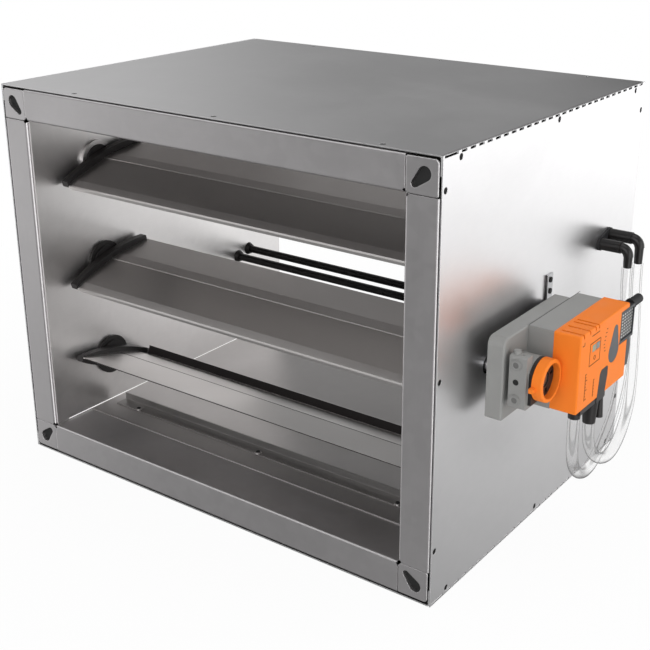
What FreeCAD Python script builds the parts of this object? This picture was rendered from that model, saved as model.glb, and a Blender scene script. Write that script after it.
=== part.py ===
"""Rectangular, double-skinned variable air volume box.

A short length of air duct with a slotted-corner flange at each end. Three hollow damper blades
turn in it, geared together inside the left wall. An actuator clamped to the middle blade's
shaft reads the air flow through pressure probes that cross the duct behind the blades.

Millimetres. X runs across the duct towards the actuator, Y runs along the air flow from the
front flange to the rear one, and Z is up. The origin is the centre of the casing's underside.
"""
import FreeCAD, Part
import math
import os

V = FreeCAD.Vector

# Duct and casing
DUCT_W = 400.0
DUCT_H = 300.0
CASE_D = 350.0
FLANGE_H = 30.0
SHEET = 1.0
PROFILE_T = 1.2
JACKET_T = 1.0
BEND_R = 1.0
JOINT_GAP = 0.6
REVEAL = 0.9
SEAT = 0.3

# Flange profile, measured from the casing's end face into the casing
LEG_DEPTH = 52.0
DUCT_SET_IN = 46.0
SIDE_SET_IN = 3.2
LIP_DEPTH = 16.0
LIP_HOOK = 6.0
CORNER_T = 1.5
CORNER_INSET = 2.8
CORNER_ROUND = 3.2
CORNER_TIP_ROUND = 1.5
CORNER_RIM = 0.9
CORNER_RELIEF = (6.0, 2.6)
CORNER_RELIEF_OUT = 0.4
CORNER_ARM_L = 34.0
CORNER_ARM_W = 17.0
CORNER_ARM_T = 1.8
KEY_BIG_R = 5.5
KEY_BIG_AT = 14.3
KEY_SMALL_R = 2.9
KEY_SMALL_AT = 22.3

# Perforated bends along the jacket's right edges
SLOT_PITCH = 12.0
SLOT_LEN = 7.6
SLOT_START = 25.0
SLOT_FIRST = (2.5, 20.8)
SLOT_TOP = 0.25
SLOT_LOW = 2.1
SLOT_ROOM = 5.0
SLOT_BACK = 4.0
TURN_DOWN = 14.0

# Rivets of the jacket, measured from the casing's end faces and edges
RIVET_R = 2.3
RIVET_HOLE_R = 2.5
RIVET_L = 3.4
RIVET_SINK = 0.3
RIVET_EDGE = 5.0
RIVET_IN = 7.0
RIVET_SIDE_IN = 4.8
RIVET_ROW = 3
RIVET_FRONT = 24.4
RIVET_REAR = 21.0
RIVET_LOW = 48.5
RIVET_MIDDLE = 191.0
RIVET_HIGH = 25.0
RIVET_LEFT = 88.5
RIVET_RIGHT = 53.5

# Damper blades
BLADE_COUNT = 3
BLADE_PITCH = 100.0
SHAFT_DEPTH = 77.0
REST_TILT = 15.0
CLOSED_TILT = 82.0
EDGE_CLEAR = 0.4
SKIN_T = 1.2
BLADE_HALF_T = 4.2
RIDGE_STEP = 0.6
BAND_W = 12.0
BAND_STEP = 0.5
WEB_AT = 9.0
NOSE_DROP = 5.0
NOSE_W = 8.6
NOSE_LEDGE = 3.4
NOSE_STEP = 0.7
FIN_DROP = 9.0
LIP_CUT_BACK = 2.5
CAP_T = 8.0
CAP_HALF_H = 9.5
CAP_TIP_H = 2.8
CAP_EDGE = 0.8
CAP_HUB_R = 15.0
CAP_HUB_T = 1.0
PLUG_L = 6.0
PLUG_CLEAR = 0.15
STOP_H = 7.5
STOP_T = 1.0
STOP_FOOT = 14.0
STOP_END_GAP = 1.0
STOP_SCREW_LEFT = 43.5
STOP_SCREW_RIGHT = 46.5
STOP_SCREW_ROW = 3
STOP_SCREW_AHEAD = 7.0
STOP_SCREW_R = 3.4
STOP_SCREW_H = 1.6
STOP_SCREW_ROUND = 1.0

# Shafts, bushes and gears
JOURNAL_R = 6.0
JOURNAL_CLEAR = 0.06
SQUARE = 8.2
BUSH_FLANGE_R = 19.5
BUSH_FLANGE_T = 3.0
BUSH_BARREL_R = 9.0
BUSH_BARB_R = 9.8
BUSH_BARB_T = 1.6
RUN_GAP = 0.4
GEAR_MODULE = 2.5
GEAR_TEETH = 20
SMALL_TEETH = 10
PRESSURE_ANGLE = 30.0
ADDENDUM = 0.8
DEDENDUM = 1.0
TOOTH_PLAY = 0.15
GEAR_W = 8.0
GEAR_STAND_OFF = 4.0
PIN_R = 4.0
PIN_CLEAR = 0.05
PIN_HEAD_R = 5.6
PIN_HEAD_T = 1.2
PIN_FOOT_R = 8.0
PIN_FOOT_T = 1.5

# Pressure probes across the duct
ROD_R = 4.0
ROD_REAR_DEPTH = 57.0
ROD_SPACING = 18.0
ROD_STEP = 4.5
PROBE_OFFSET = 48.5
ROD_HOLE_R = 0.9
ROD_HOLE_PITCH = 60.0
SOCKET_R = 7.0
SOCKET_T = 4.0
SOCKET_BITE = 3.0
HUB_R = 5.5
HUB_L = 12.0
RISER_R = 3.5
RISER_STAND_OFF = 6.0

# Tube grommet and elbows on the right side
GROMMET_R = 6.2
GROMMET_T = 2.4
ELBOW_R = 4.5
ELBOW_NECK_R = 4.0
ELBOW_SLEEVE_R = 5.4
ELBOW_OUT = (28.0, 30.5)
ELBOW_BEND_R = 7.0
ELBOW_DROP = (17.0, 22.0)
ELBOW_COLLAR = 0.4
HOSE_R = 4.8
HOSE_BORE_R = 3.3

# Actuator, measured from the casing's right side, front face and shaft line
ACT_STAND_OFF = 10.0
ACT_HALF_H = 32.5
BASE_T = 14.0
BASE_FRONT = 20.5
BASE_L = 111.5
BASE_DROP = 35.0
BASE_ROUND = 7.0
BASE_FOOT_ROUND = 3.0
BODY_T = 21.5
BODY_FRONT = 18.0
BODY_L = 87.0
COVER_T = 22.5
COVER_L = 92.0
COVER_ROUND = 1.5
BLOCK_GAP = 3.6
BLOCK_T = 14.6
BLOCK_HALF_H = 21.5
BLOCK_FRONT = 18.0
BLOCK_LIP_T = 9.0
BLOCK_LINK_H = 9.0
BLOCK_ROUND = 2.0
PIN_WAY_R = 0.9
CATCH_R = 2.8
CATCH_H = 3.0
BORE_CLEAR = 1.0
PLATE_R = 16.8
PLATE_FRONT = 14.9
PLATE_DROP = 17.5
PLATE_T = 2.7
CLAMP_T = 3.0
RING_GAP = 0.5
RING_R = 17.1
RING_BORE_R = 14.0
RING_T = 8.5
RING_NUB = 4.2
NUB_DROP = 4.2
BOSS_R = 4.3
BOSS_H = 0.9
BOSS_AT = 14.4
BOSS_IN = 6.0
CLAMP_SCREW_R = 2.4

# Vents, windows, button, socket and ports, measured from the cover's front, bottom and outer face
VENT_AT = (4.7, 15.5, 25.7, 31.6)
VENT_W = 1.8
VENT_L = 19.0
VENT_D = 1.4
VENT_DOWN = 3.2
DROP_BIG = (64.5, 32.0, 9.6)
DROP_SMALL = (66.0, 49.9, 4.0)
INLAY_SINK = 1.2
INLAY_CLEAR = 0.15
WINDOW_PLACE = (22.5, 28.3, 45.2, 50.8)
BUTTON_PLACE = (29.3, 35.5, 45.2, 50.8)
BUTTON_L = 3.0
BUTTON_TRAVEL = 1.5
BUTTON_PROUD = 0.2
BUTTON_FIT = 0.3
SOCKET_L = 27.0
SOCKET_H = 27.8
SOCKET_T_X = 14.0
SOCKET_LAP = 16.5
SOCKET_LOW = 33.3
SOCKET_ROUND = 1.2
DISH_D = 1.0
DISH_RIM = 2.2
DISH_END = 1.4
FLAP_IN = 2.0
FLAP_SINK = 0.5
FLAP = ((0.0, -24.5), (5.0, -24.5), (7.0, -15.5), (7.5, -7.5), (5.7, 0.0), (0.0, 0.0))
GLAND_R = 4.0
GLAND_L = 19.5
GLAND_IN = 4.8
GLAND_DOWN = 2.4
GLAND_NECK = 3.0
GLAND_STEP = 0.7
STRAP = ((38.0, 0.0), (52.5, 0.0), (55.8, 14.8), (55.7, 21.7), (54.0, 23.0), (43.5, 22.8), (41.0, 20.0))
PORT_PLATE_T = 4.0
PORT_PLATE_END = 6.0
PORT_PLATE_SIDE = 2.0
PORT_PLATE_TAIL = 1.0
PORT_IN = (8.0, 8.0, 4.0)
PORT_AT = (15.5, 45.2, 54.5)
PORT_TOP_R = (5.3, 7.0, 2.2)
PORT_END_R = (4.9, 5.2, 3.5)
PORT_DROP = (9.7, 25.5, 23.0)

# Torque bracket
BRACKET_T = 1.5
BRACKET_GAP = 2.0
BRACKET_W = 10.7
BRACKET_LEAVE = 0.6
BRACKET_TOP = 46.0
BRACKET_DROP = 40.0
BRACKET_TAB = 22.0
BRACKET_SCREW_R = 1.5
BRACKET_SCREW_IN = 5.2
BRACKET_SCREW_AT = (4.7, 14.6)
BRACKET_HEAD_R = 2.4
BRACKET_HEAD_H = 1.1

# Hose points between the straight ends at elbow and port
HOSE_LEAD = 17.0
FRONT_HOSE_TAIL = 11.0
REAR_HOSE_TAIL = 15.5
FRONT_HOSE_STEPS = ((258.0, 100.0, 192.25), (259.5, 101.5, 170.0), (262.0, 99.0, 145.5), (266.0, 90.5, 122.0),
                    (270.5, 74.5, 103.0), (275.0, 55.0, 89.5), (277.5, 33.5, 76.5), (279.5, 10.5, 66.0),
                    (281.5, -12.5, 63.5), (284.0, -34.5, 72.0), (287.0, -53.0, 88.5), (289.3, -62.5, 108.5),
                    (290.0, -64.5, 126.8))
REAR_HOSE_STEPS = ((260.5, 118.0, 191.75), (261.5, 118.5, 173.0), (264.5, 114.5, 150.0),
                   (268.5, 106.5, 127.0), (273.5, 95.0, 106.0), (279.5, 78.0, 89.5), (285.5, 52.5, 80.0),
                   (290.5, 27.0, 75.8), (292.5, 6.9, 73.6), (292.2, -11.5, 78.2), (291.0, -26.5, 89.9),
                   (290.0, -34.8, 106.5))

# Places worked out from the sizes above
IN_X = DUCT_W / 2
IN_Z = DUCT_H / 2
MID_Z = IN_Z + FLANGE_H
CASE_HALF_W = IN_X + FLANGE_H
CASE_H = 2 * MID_Z
FRONT = -CASE_D / 2
WALL_X = IN_X - SHEET
JACKET_IN = FLANGE_H - JACKET_T
JACKET_X = CASE_HALF_W
JACKET_HALF_L = CASE_D / 2 - JOINT_GAP
SHAFT_Y = FRONT + SHAFT_DEPTH
HALF = BLADE_PITCH / 2 - SHEET - EDGE_CLEAR
CAP_IN = WALL_X - BUSH_FLANGE_T - RUN_GAP - CAP_HUB_T - CAP_T
HUB_FACE = CAP_IN + CAP_T + CAP_HUB_T
BUSH_END = IN_X + BUSH_BARB_T
GEAR_X = IN_X + GEAR_STAND_OFF
BASE_X = JACKET_X + ACT_STAND_OFF
BODY_X = BASE_X + BASE_T
COVER_X = BODY_X + BODY_T
COVER_END_X = COVER_X + COVER_T
COVER_Y = SHAFT_Y + BODY_FRONT
BLOCK_X = BODY_X + BLOCK_GAP
RING_X = COVER_X + RING_GAP
HUB_X = IN_X + RISER_STAND_OFF
NODES = {}


def box(low, high):
    """A box between two corners."""
    size = [b - a for a, b in zip(low, high)]
    return Part.makeBox(size[0], size[1], size[2], V(*low))


def rod(radius, start, end):
    """A round bar between two points."""
    start, end = V(*start), V(*end)
    return Part.makeCylinder(radius, (end - start).Length, start, end - start)


def polygon(points):
    """A flat face with straight edges."""
    return Part.Face(Part.makePolygon([V(*p) for p in points + points[:1]]))


def section(points, x=0.0):
    """A flat face in the plane of constant x from (y, z) points."""
    return polygon([(x, y, z) for y, z in points])


def spread(first, last, count):
    """Evenly spaced places from first to last."""
    return [first + (last - first) * i / (count - 1) for i in range(count)]


def fuse(shapes):
    """One solid from shapes that touch or cross."""
    first, rest = shapes[0], list(shapes[1:])
    return (first.fuse(rest) if rest else first).removeSplitter()


def turned(shape, angle, axis=(0, 1, 0), centre=(0, 0, 0)):
    """A copy turned about an axis through a centre."""
    copy = shape.copy()
    copy.rotate(V(*centre), V(*axis), angle)
    return copy


def moved(shape, x=0.0, y=0.0, z=0.0):
    """A copy moved by a step."""
    copy = shape.copy()
    copy.translate(V(x, y, z))
    return copy


def mirrored_x(shape):
    """The same piece on the other side of the duct."""
    return shape.mirror(V(0, 0, 0), V(1, 0, 0))


def node(name, *shapes):
    """Keep one named piece, or a group of alike pieces."""
    NODES[name] = list(shapes)


def bent_sheet(points, thickness, bend):
    """The flat outline of a folded sheet from the (y, z) points of its middle line."""
    half = thickness / 2
    middle = bend + half
    pts = [V(0, y, z) for y, z in points]
    dirs = [(b - a).normalize() for a, b in zip(pts, pts[1:])]
    sides = {1: [], -1: []}
    for side in sides:
        at = pts[0] + across(dirs[0]) * side * half
        for corner, before, after in zip(pts[1:-1], dirs, dirs[1:]):
            cut = middle * math.tan(before.getAngle(after) / 2)
            hand = 1 if across(before).dot(after) > 0 else -1
            centre = corner - before * cut + across(before) * hand * middle
            radius = middle - side * hand * half
            start = centre - across(before) * hand * radius
            end = centre - across(after) * hand * radius
            inner = centre + (corner - centre).normalize() * radius
            sides[side] += [Part.LineSegment(at, start), Part.Arc(start, inner, end)]
            at = end
        sides[side].append(Part.LineSegment(at, pts[-1] + across(dirs[-1]) * side * half))
    left, right = ([piece.toShape() for piece in sides[s]] for s in (1, -1))
    ends = [Part.makeLine(left[0].Vertexes[0].Point, right[0].Vertexes[0].Point),
            Part.makeLine(left[-1].Vertexes[-1].Point, right[-1].Vertexes[-1].Point)]
    edges = Part.sortEdges(left + right + ends)[0]
    return Part.Face(Part.Wire(edges))


def across(direction):
    """The direction turned a quarter turn in the plane of constant x."""
    return V(0, -direction.z, direction.y)


def shaft_z(index):
    """Height of a blade's shaft, counted from the top."""
    return MID_Z + (BLADE_COUNT - 1) / 2 * BLADE_PITCH - index * BLADE_PITCH


# Casing
def flange_rail(half_span, length):
    """One flange profile below the middle of the duct, cut to length along X."""
    top = MID_Z - half_span
    half = PROFILE_T / 2
    lip_y = FRONT + LIP_DEPTH - half
    lip_z = top - FLANGE_H + JACKET_T + REVEAL + half
    line = [(lip_y, lip_z + LIP_HOOK), (lip_y, lip_z), (FRONT + half, lip_z), (FRONT + half, top - half),
            (FRONT + LEG_DEPTH, top - half)]
    return moved(bent_sheet(line, PROFILE_T, BEND_R).extrude(V(length, 0, 0)), -length / 2)


def corner_piece():
    """The lower left corner piece of the front flange, with its keyhole slot and two arms."""
    x0, z0 = -CASE_HALF_W, 0.0
    plate = corner_plate(x0, z0)
    arm_from = (FLANGE_H - CORNER_ARM_W) / 2
    back, deep = FRONT + CORNER_T, FRONT + CORNER_T + CORNER_ARM_T
    along, wide = FLANGE_H + CORNER_ARM_L, arm_from + CORNER_ARM_W
    arms = [box((x0 + arm_from, back, z0 + arm_from), (x0 + along, deep, z0 + wide)),
            box((x0 + arm_from, back, z0 + arm_from), (x0 + wide, deep, z0 + along)),
            box((x0 + arm_from, back, z0 + arm_from), (x0 + FLANGE_H, deep, z0 + FLANGE_H))]
    return fuse([plate] + arms).cut([keyhole(x0, z0), corner_slit()])


def corner_slit():
    """The cutter of the slanted slit at the lower left inner corner of the front flange."""
    long, wide = CORNER_RELIEF
    deep = FRONT + CORNER_T + CORNER_ARM_T + 1
    slit = turned(box((-wide / 2, FRONT - 1, -long / 2), (wide / 2, deep, long / 2)), -45)
    at = FLANGE_H - CORNER_RELIEF_OUT
    return moved(slit, -CASE_HALF_W + at, 0, at)


def four_corners(shape):
    """A piece at the lower left front corner and its mirror images at the other three."""
    pair = [shape, mirrored_x(shape)]
    return pair + [p.mirror(V(0, 0, MID_Z), V(0, 0, 1)) for p in pair]


def corner_plate(x0, z0):
    """The square face of a corner piece, with rounded corners and a rounded front rim."""
    low, high = CORNER_INSET, FLANGE_H
    plate = box((x0 + low, FRONT, z0 + low), (x0 + high, FRONT + CORNER_T, z0 + high))

    def sides_at_low(edge):
        middle = edge.CenterOfMass
        return (abs(middle.x - x0 - low) < 0.01) + (abs(middle.z - z0 - low) < 0.01)

    for radius, sides in ((CORNER_ROUND, 2), (CORNER_TIP_ROUND, 1)):
        edges = [e for e in plate.Edges if len(e.Vertexes) == 2 and e.BoundBox.YLength > CORNER_T / 2
                 and e.BoundBox.XLength + e.BoundBox.ZLength < 0.01 and sides_at_low(e) == sides]
        plate = plate.makeFillet(radius, edges)
    return plate.makeFillet(CORNER_RIM, [e for e in plate.Edges if e.BoundBox.YMax < FRONT + 0.01])


def keyhole(x0, z0):
    """The cutter of a corner's keyhole slot: two eyes joined by the straight lines that touch both."""
    reach = (KEY_SMALL_AT - KEY_BIG_AT) * math.sqrt(2)
    lean = math.acos((KEY_BIG_R - KEY_SMALL_R) / reach)
    depth = CORNER_T + CORNER_ARM_T + 2
    touch = []
    for radius, along, side in ((KEY_BIG_R, 0, 1), (KEY_SMALL_R, reach, 1),
                                (KEY_SMALL_R, reach, -1), (KEY_BIG_R, 0, -1)):
        touch.append((along + radius * math.cos(lean), FRONT - 1, side * radius * math.sin(lean)))
    way = polygon(touch).extrude(V(0, depth, 0))
    eyes = [rod(radius, (along, FRONT - 1, 0), (along, FRONT - 1 + depth, 0))
            for radius, along in ((KEY_BIG_R, 0), (KEY_SMALL_R, reach))]
    return moved(turned(fuse(eyes + [way]), -45), x0 + KEY_BIG_AT, 0, z0 + KEY_BIG_AT)


def build_flanges():
    """The profiles and corner pieces of both flanges."""
    centre = (0, 0, MID_Z)
    rail = flange_rail(IN_Z, DUCT_W - 2 * SEAT)
    stile = turned(flange_rail(IN_X, DUCT_H - 2 * SEAT), 90, centre=centre)
    corners, slits = four_corners(corner_piece()), four_corners(corner_slit())
    holes = [rivet(p, o, RIVET_HOLE_R, 0.0, 2 * RIVET_L) for p, o in rivet_places()]
    holes += [through_x(ROD_R + SEAT, y, z) for y, z in rod_places()]
    groups = {"rails": [rail, turned(rail, 180, centre=centre)],
              "stiles": [stile, turned(stile, 180, centre=centre)]}
    for name, whole in groups.items():
        pieces = [p.cut(slits) for p in whole]
        backs = [turned(p, 180, axis=(0, 0, 1)) for p in pieces]
        node("front_flange_" + name, *[p.cut(holes) for p in pieces])
        node("rear_flange_" + name, *[p.cut(holes) for p in backs])
    node("front_flange_corner_pieces", *corners)
    node("rear_flange_corner_pieces", *[turned(c, 180, axis=(0, 0, 1)) for c in corners])


def build_duct():
    """The four sheets of the inner duct, with the holes for bushes, pins and probes."""
    half_l = CASE_D / 2 - DUCT_SET_IN
    floor = box((-IN_X, -half_l, FLANGE_H), (IN_X, half_l, FLANGE_H + SHEET))
    node("duct_floor", floor)
    node("duct_roof", moved(floor, z=DUCT_H - SHEET))
    long = CASE_D / 2 - SIDE_SET_IN
    side = fuse([box((WALL_X, -half_l, FLANGE_H + SHEET), (IN_X, half_l, CASE_H - FLANGE_H - SHEET)),
                 box((WALL_X, -long, FLANGE_H), (IN_X, -half_l, CASE_H - FLANGE_H)),
                 box((WALL_X, half_l, FLANGE_H), (IN_X, long, CASE_H - FLANGE_H))])
    holes = [through_x(BUSH_BARREL_R, SHAFT_Y, shaft_z(i)) for i in range(BLADE_COUNT)]
    node("duct_side_left", mirrored_x(side.cut(holes)))
    holes += [through_x(ROD_R, y, z) for y, z in rod_places()]
    node("duct_side_right", side.cut(holes))


def through_x(radius, y, z, start=0.0, end=2 * CASE_HALF_W):
    """A cutter along X on the right side of the casing."""
    return rod(radius, (start, y, z), (end, y, z))


def side_panel():
    """The right side of the jacket."""
    return box((JACKET_X - JACKET_T, -JACKET_HALF_L, 0), (JACKET_X, JACKET_HALF_L, CASE_H))


def bend_slots():
    """Cutters of the slot rows along the right edges: in the side panel, and behind it in the cover."""
    spans = [SLOT_FIRST]
    for i in range(int((CASE_D - SLOT_START) // SLOT_PITCH)):
        start = SLOT_START + i * SLOT_PITCH
        spans.append((start, start + SLOT_LEN))
    slots, rooms = [], []
    back = JACKET_X - SLOT_BACK
    for start, end in spans:
        slots.append(box((back, FRONT + start, CASE_H - SLOT_LOW),
                         (JACKET_X + 1, FRONT + end, CASE_H - SLOT_TOP)))
        rooms.append(box((back, FRONT + start, CASE_H - SLOT_ROOM),
                         (JACKET_X - JACKET_T, FRONT + end, CASE_H - JACKET_T)))
    return slots, rooms


def folded_cover():
    """The top of the jacket, with turned-down long edges behind the side panels."""
    edge = JACKET_X - JACKET_T - JACKET_T / 2
    top = CASE_H - JACKET_T / 2
    line = [(-edge, top - TURN_DOWN), (-edge, top), (edge, top), (edge, top - TURN_DOWN)]
    sheet = bent_sheet(line, JACKET_T, BEND_R).extrude(V(2 * JACKET_HALF_L, 0, 0))
    return moved(turned(sheet, 90, axis=(0, 0, 1)), 0, -JACKET_HALF_L)


def rivet_places():
    """Foot points and outward directions of the jacket's rivets."""
    places = []
    along = spread(FRONT + RIVET_FRONT, -FRONT - RIVET_REAR, RIVET_ROW)
    ends = (FRONT + RIVET_IN, -FRONT - RIVET_IN)
    heights = (RIVET_LOW, RIVET_MIDDLE, CASE_H - RIVET_HIGH)
    for hand in (-1, 1):
        side = [(y, z) for y in along for z in (RIVET_EDGE, CASE_H - RIVET_EDGE)]
        side += [(s * (-FRONT - RIVET_SIDE_IN), z) for s in (-1, 1) for z in heights]
        places += [((hand * JACKET_X, y, z), (hand, 0, 0)) for y, z in side]
    for x in spread(RIVET_LEFT - CASE_HALF_W, CASE_HALF_W - RIVET_RIGHT, RIVET_ROW):
        for y in ends:
            places.append(((x, y, CASE_H), (0, 0, 1)))
            places.append(((x, y, 0), (0, 0, -1)))
    return places


def rivet(place, out, radius, sink, length):
    """A short pin set in from an outer face."""
    start, way = V(*place), V(*out)
    return Part.makeCylinder(radius, length, start - way * sink, -way)


def build_jacket():
    """The outer skin, its rivets and the mineral wool behind it."""
    holes = [rivet(p, o, RIVET_HOLE_R, -1.0, 2 * RIVET_L) for p, o in rivet_places()]
    grips = [rivet(p, o, RIVET_R, RIVET_SINK, RIVET_L) for p, o in rivet_places()]
    cover = folded_cover()
    under = cover.mirror(V(0, 0, MID_Z), V(0, 0, 1))
    right = side_panel()
    left = mirrored_x(right)
    slots, rooms = bend_slots()
    low_slots, low_rooms = ([c.mirror(V(0, 0, MID_Z), V(0, 0, 1)) for c in row] for row in (slots, rooms))
    openings = [through_x(JOURNAL_R + 2 * BORE_CLEAR, SHAFT_Y, shaft_z(1), JACKET_X - 5)]
    openings += [through_x(ELBOW_NECK_R, y, z, JACKET_X - 5) for y, z in upper_rods()]
    openings += [rod(BRACKET_SCREW_R, (JACKET_X - 5, y, z), (JACKET_X + 5, y, z))
                 for y, z in bracket_screw_places()]
    node("jacket_top", cover.cut(holes + rooms))
    node("jacket_bottom", under.cut(holes + low_rooms))
    node("jacket_left", left.cut(holes))
    node("jacket_right", right.cut(holes + openings + slots + low_slots))
    node("jacket_rivets", *grips)
    build_insulation(holes)


def build_insulation(holes):
    """Four slabs between duct and jacket, with room for the gears, shafts, tubes and rivets."""
    near, far = PROFILE_T + SEAT, JACKET_IN - JACKET_T - SEAT
    half_l = CASE_D / 2 - LIP_DEPTH - SEAT
    wide = CASE_HALF_W - JACKET_T - JACKET_T - SEAT
    lower = box((-wide, -half_l, CASE_H - MID_Z - IN_Z - far), (wide, half_l, FLANGE_H - near))
    upper = lower.mirror(V(0, 0, MID_Z), V(0, 0, 1))
    side = box((IN_X + near, -half_l, FLANGE_H - near + SEAT),
               (IN_X + far, half_l, CASE_H - FLANGE_H + near - SEAT))
    room = GEAR_MODULE * (GEAR_TEETH / 2 + 1) + 4 * SEAT
    depth = GEAR_X + GEAR_W + PIN_HEAD_T + 3.0
    gears = box((IN_X, SHAFT_Y - room, shaft_z(BLADE_COUNT - 1) - room),
                (depth, SHAFT_Y + room, shaft_z(0) + room))
    left = mirrored_x(side.cut(gears))
    wells = [through_x(BUSH_BARREL_R + 4 * SEAT, SHAFT_Y, shaft_z(i), 0, BUSH_END + 4.0)
             for i in range(BLADE_COUNT)]
    wells.append(through_x(JOURNAL_R + 2 * BORE_CLEAR, SHAFT_Y, shaft_z(1)))
    rows = rod_places()
    ys, zs = [y for y, _ in rows], [z for _, z in rows]
    margin = HUB_R + 2.0
    wells.append(box((IN_X, min(ys) - margin, min(zs) - margin),
                     (JACKET_X, max(ys) + margin, max(zs) + margin)))
    node("insulation_slabs", *[s.cut(holes) for s in (lower, upper, left, side.cut(wells))])


# Damper
def skin(points, u):
    """Height of a skin at a place along the blade's chord."""
    for (u0, n0), (u1, n1) in zip(points, points[1:]):
        if u0 <= u <= u1:
            return n0 + (n1 - n0) * (u - u0) / (u1 - u0)
    return points[-1][1]


def blade_skins():
    """Upper and lower outlines of the blade, front edge first, without its edge lips."""
    nose = -HALF + NOSE_W
    upper = [(-HALF, -1.8), (-HALF + 1.2, -0.8), (nose, 1.3), (0, BLADE_HALF_T - RIDGE_STEP),
             (0.6, BLADE_HALF_T), (BAND_W, BLADE_HALF_T - 0.3),
             (BAND_W + BAND_STEP, BLADE_HALF_T - 0.3 - BAND_STEP), (HALF, -1.2)]
    lower = [(-HALF + SKIN_T, -NOSE_DROP / 2), (nose, -0.2), (-0.5 * HALF, -3.2), (0, -BLADE_HALF_T),
             (12, -BLADE_HALF_T + 0.4), (HALF, -2.4)]
    return upper, lower


def blade_outline():
    """The blade's outer section as (u, n) points, u towards its rear edge, n up."""
    upper, lower = blade_skins()
    fin = -HALF + NOSE_W
    ledge = -HALF + NOSE_STEP
    front = [(-HALF, -NOSE_LEDGE), (ledge, -NOSE_LEDGE - 0.2), (ledge, -NOSE_DROP),
             (-HALF + SKIN_T, -NOSE_DROP), lower[0], (fin, -0.2),
             (fin, -FIN_DROP), (fin + SKIN_T, -FIN_DROP), (fin + SKIN_T, skin(lower, fin + SKIN_T))]
    return upper[::-1] + front + lower[2:]


def cavity(start, end, inset):
    """A hollow of the blade between two places along its chord, as (u, n) points."""
    upper, lower = blade_skins()
    stops = [start] + [u for u, _ in upper if start < u < end] + [end]
    top = [(u, skin(upper, u) - SKIN_T - inset) for u in stops]
    stops = [start] + [u for u, _ in lower if start < u < end] + [end]
    return top + [(u, skin(lower, u) + SKIN_T + inset) for u in stops[::-1]]


def prism(points, x0, x1):
    """A bar along X with an outline of (u, n) points."""
    return section(points, x0).extrude(V(x1 - x0, 0, 0))


def blade_sheet():
    """The hollow extruded blade, lying flat about the X axis."""
    blade = prism(blade_outline(), -CAP_IN, CAP_IN)
    web = SKIN_T / 2
    rooms = [(-0.55 * HALF, -WEB_AT - web), (-WEB_AT + web, WEB_AT - web), (WEB_AT + web, 0.75 * HALF)]
    cuts = [prism(cavity(a, b, 0.0), -CAP_IN, CAP_IN) for a, b in rooms]
    edge = -HALF + NOSE_W + SKIN_T
    for hand in (-1, 1):
        end = sorted((hand * (CAP_IN + 1), hand * (CAP_IN - LIP_CUT_BACK)))
        cuts.append(box((end[0], -HALF - 1, -FIN_DROP - 1), (end[1], edge + 0.01, -BLADE_HALF_T)))
    return blade.cut(cuts)


def cap_plate():
    """An end cap's curved plate on the right end of a blade lying flat."""
    ends = ((-1, -CAP_TIP_H), (-1, CAP_TIP_H), (1, CAP_TIP_H), (1, -CAP_TIP_H))
    tip = [V(CAP_IN, s * HALF, n) for s, n in ends]
    arch = Part.Arc(tip[1], V(CAP_IN, 0, CAP_HALF_H), tip[2]).toShape()
    belly = Part.Arc(tip[3], V(CAP_IN, 0, -CAP_HALF_H), tip[0]).toShape()
    wire = Part.Wire([Part.makeLine(tip[0], tip[1]), arch, Part.makeLine(tip[2], tip[3]), belly])
    plate = Part.Face(wire).extrude(V(CAP_T, 0, 0))
    curved = [e for e in plate.Edges if e.Length > HALF and abs(e.CenterOfMass.x - CAP_IN - CAP_T) < 0.01]
    return plate.makeChamfer(CAP_EDGE, curved)


def end_cap(bored):
    """The right end cap: plate, hub, plug and either a journal or a square hole."""
    web = SKIN_T / 2 + PLUG_CLEAR
    plug = prism(cavity(-WEB_AT + web, WEB_AT - web, PLUG_CLEAR), CAP_IN - PLUG_L, CAP_IN)
    hub = rod(CAP_HUB_R, (CAP_IN + CAP_T, 0, 0), (HUB_FACE, 0, 0))
    cap = fuse([cap_plate(), hub, plug])
    if bored:
        return cap.cut(square_bar(CAP_IN, HUB_FACE + 1))
    return fuse([cap, rod(JOURNAL_R, (HUB_FACE, 0, 0), (BUSH_END + 0.8, 0, 0))])


def square_bar(x0, x1):
    """The square drive that turns a cap or a gear."""
    half = SQUARE / 2
    return box((x0, -half, -half), (x1, half, half))


def build_blades():
    """Three blades with their end caps. The lowest one is the same part turned over."""
    names = ("upper", "middle", "lower")
    sheet = blade_sheet()
    drive_cap, free_cap = end_cap(True), end_cap(False)
    gear_end = square_bar(BUSH_END + 0.8, GEAR_X + GEAR_W + PIN_HEAD_T)
    left_cap = mirrored_x(fuse([free_cap, gear_end]))
    for i, name in enumerate(names):
        angle = REST_TILT if i < BLADE_COUNT - 1 else -REST_TILT
        flip = 0 if i < BLADE_COUNT - 1 else 180
        right = drive_cap if name == "middle" else free_cap
        for part, shape in (("blade", sheet), ("left_cap", left_cap), ("right_cap", right)):
            piece = turned(shape, angle + flip, axis=(1, 0, 0))
            label = name + "_blade" if part == "blade" else name + "_blade_" + part
            node(label, moved(piece, 0, SHAFT_Y, shaft_z(i)))


def build_shaft():
    """The steel shaft from the middle blade through the casing to the actuator."""
    square = turned(square_bar(CAP_IN, HUB_FACE), REST_TILT, axis=(1, 0, 0))
    bar = rod(JOURNAL_R, (HUB_FACE, 0, 0), (RING_X + CLAMP_T - 1.0, 0, 0))
    node("drive_shaft", moved(fuse([square, bar]), 0, SHAFT_Y, shaft_z(1)))


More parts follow.
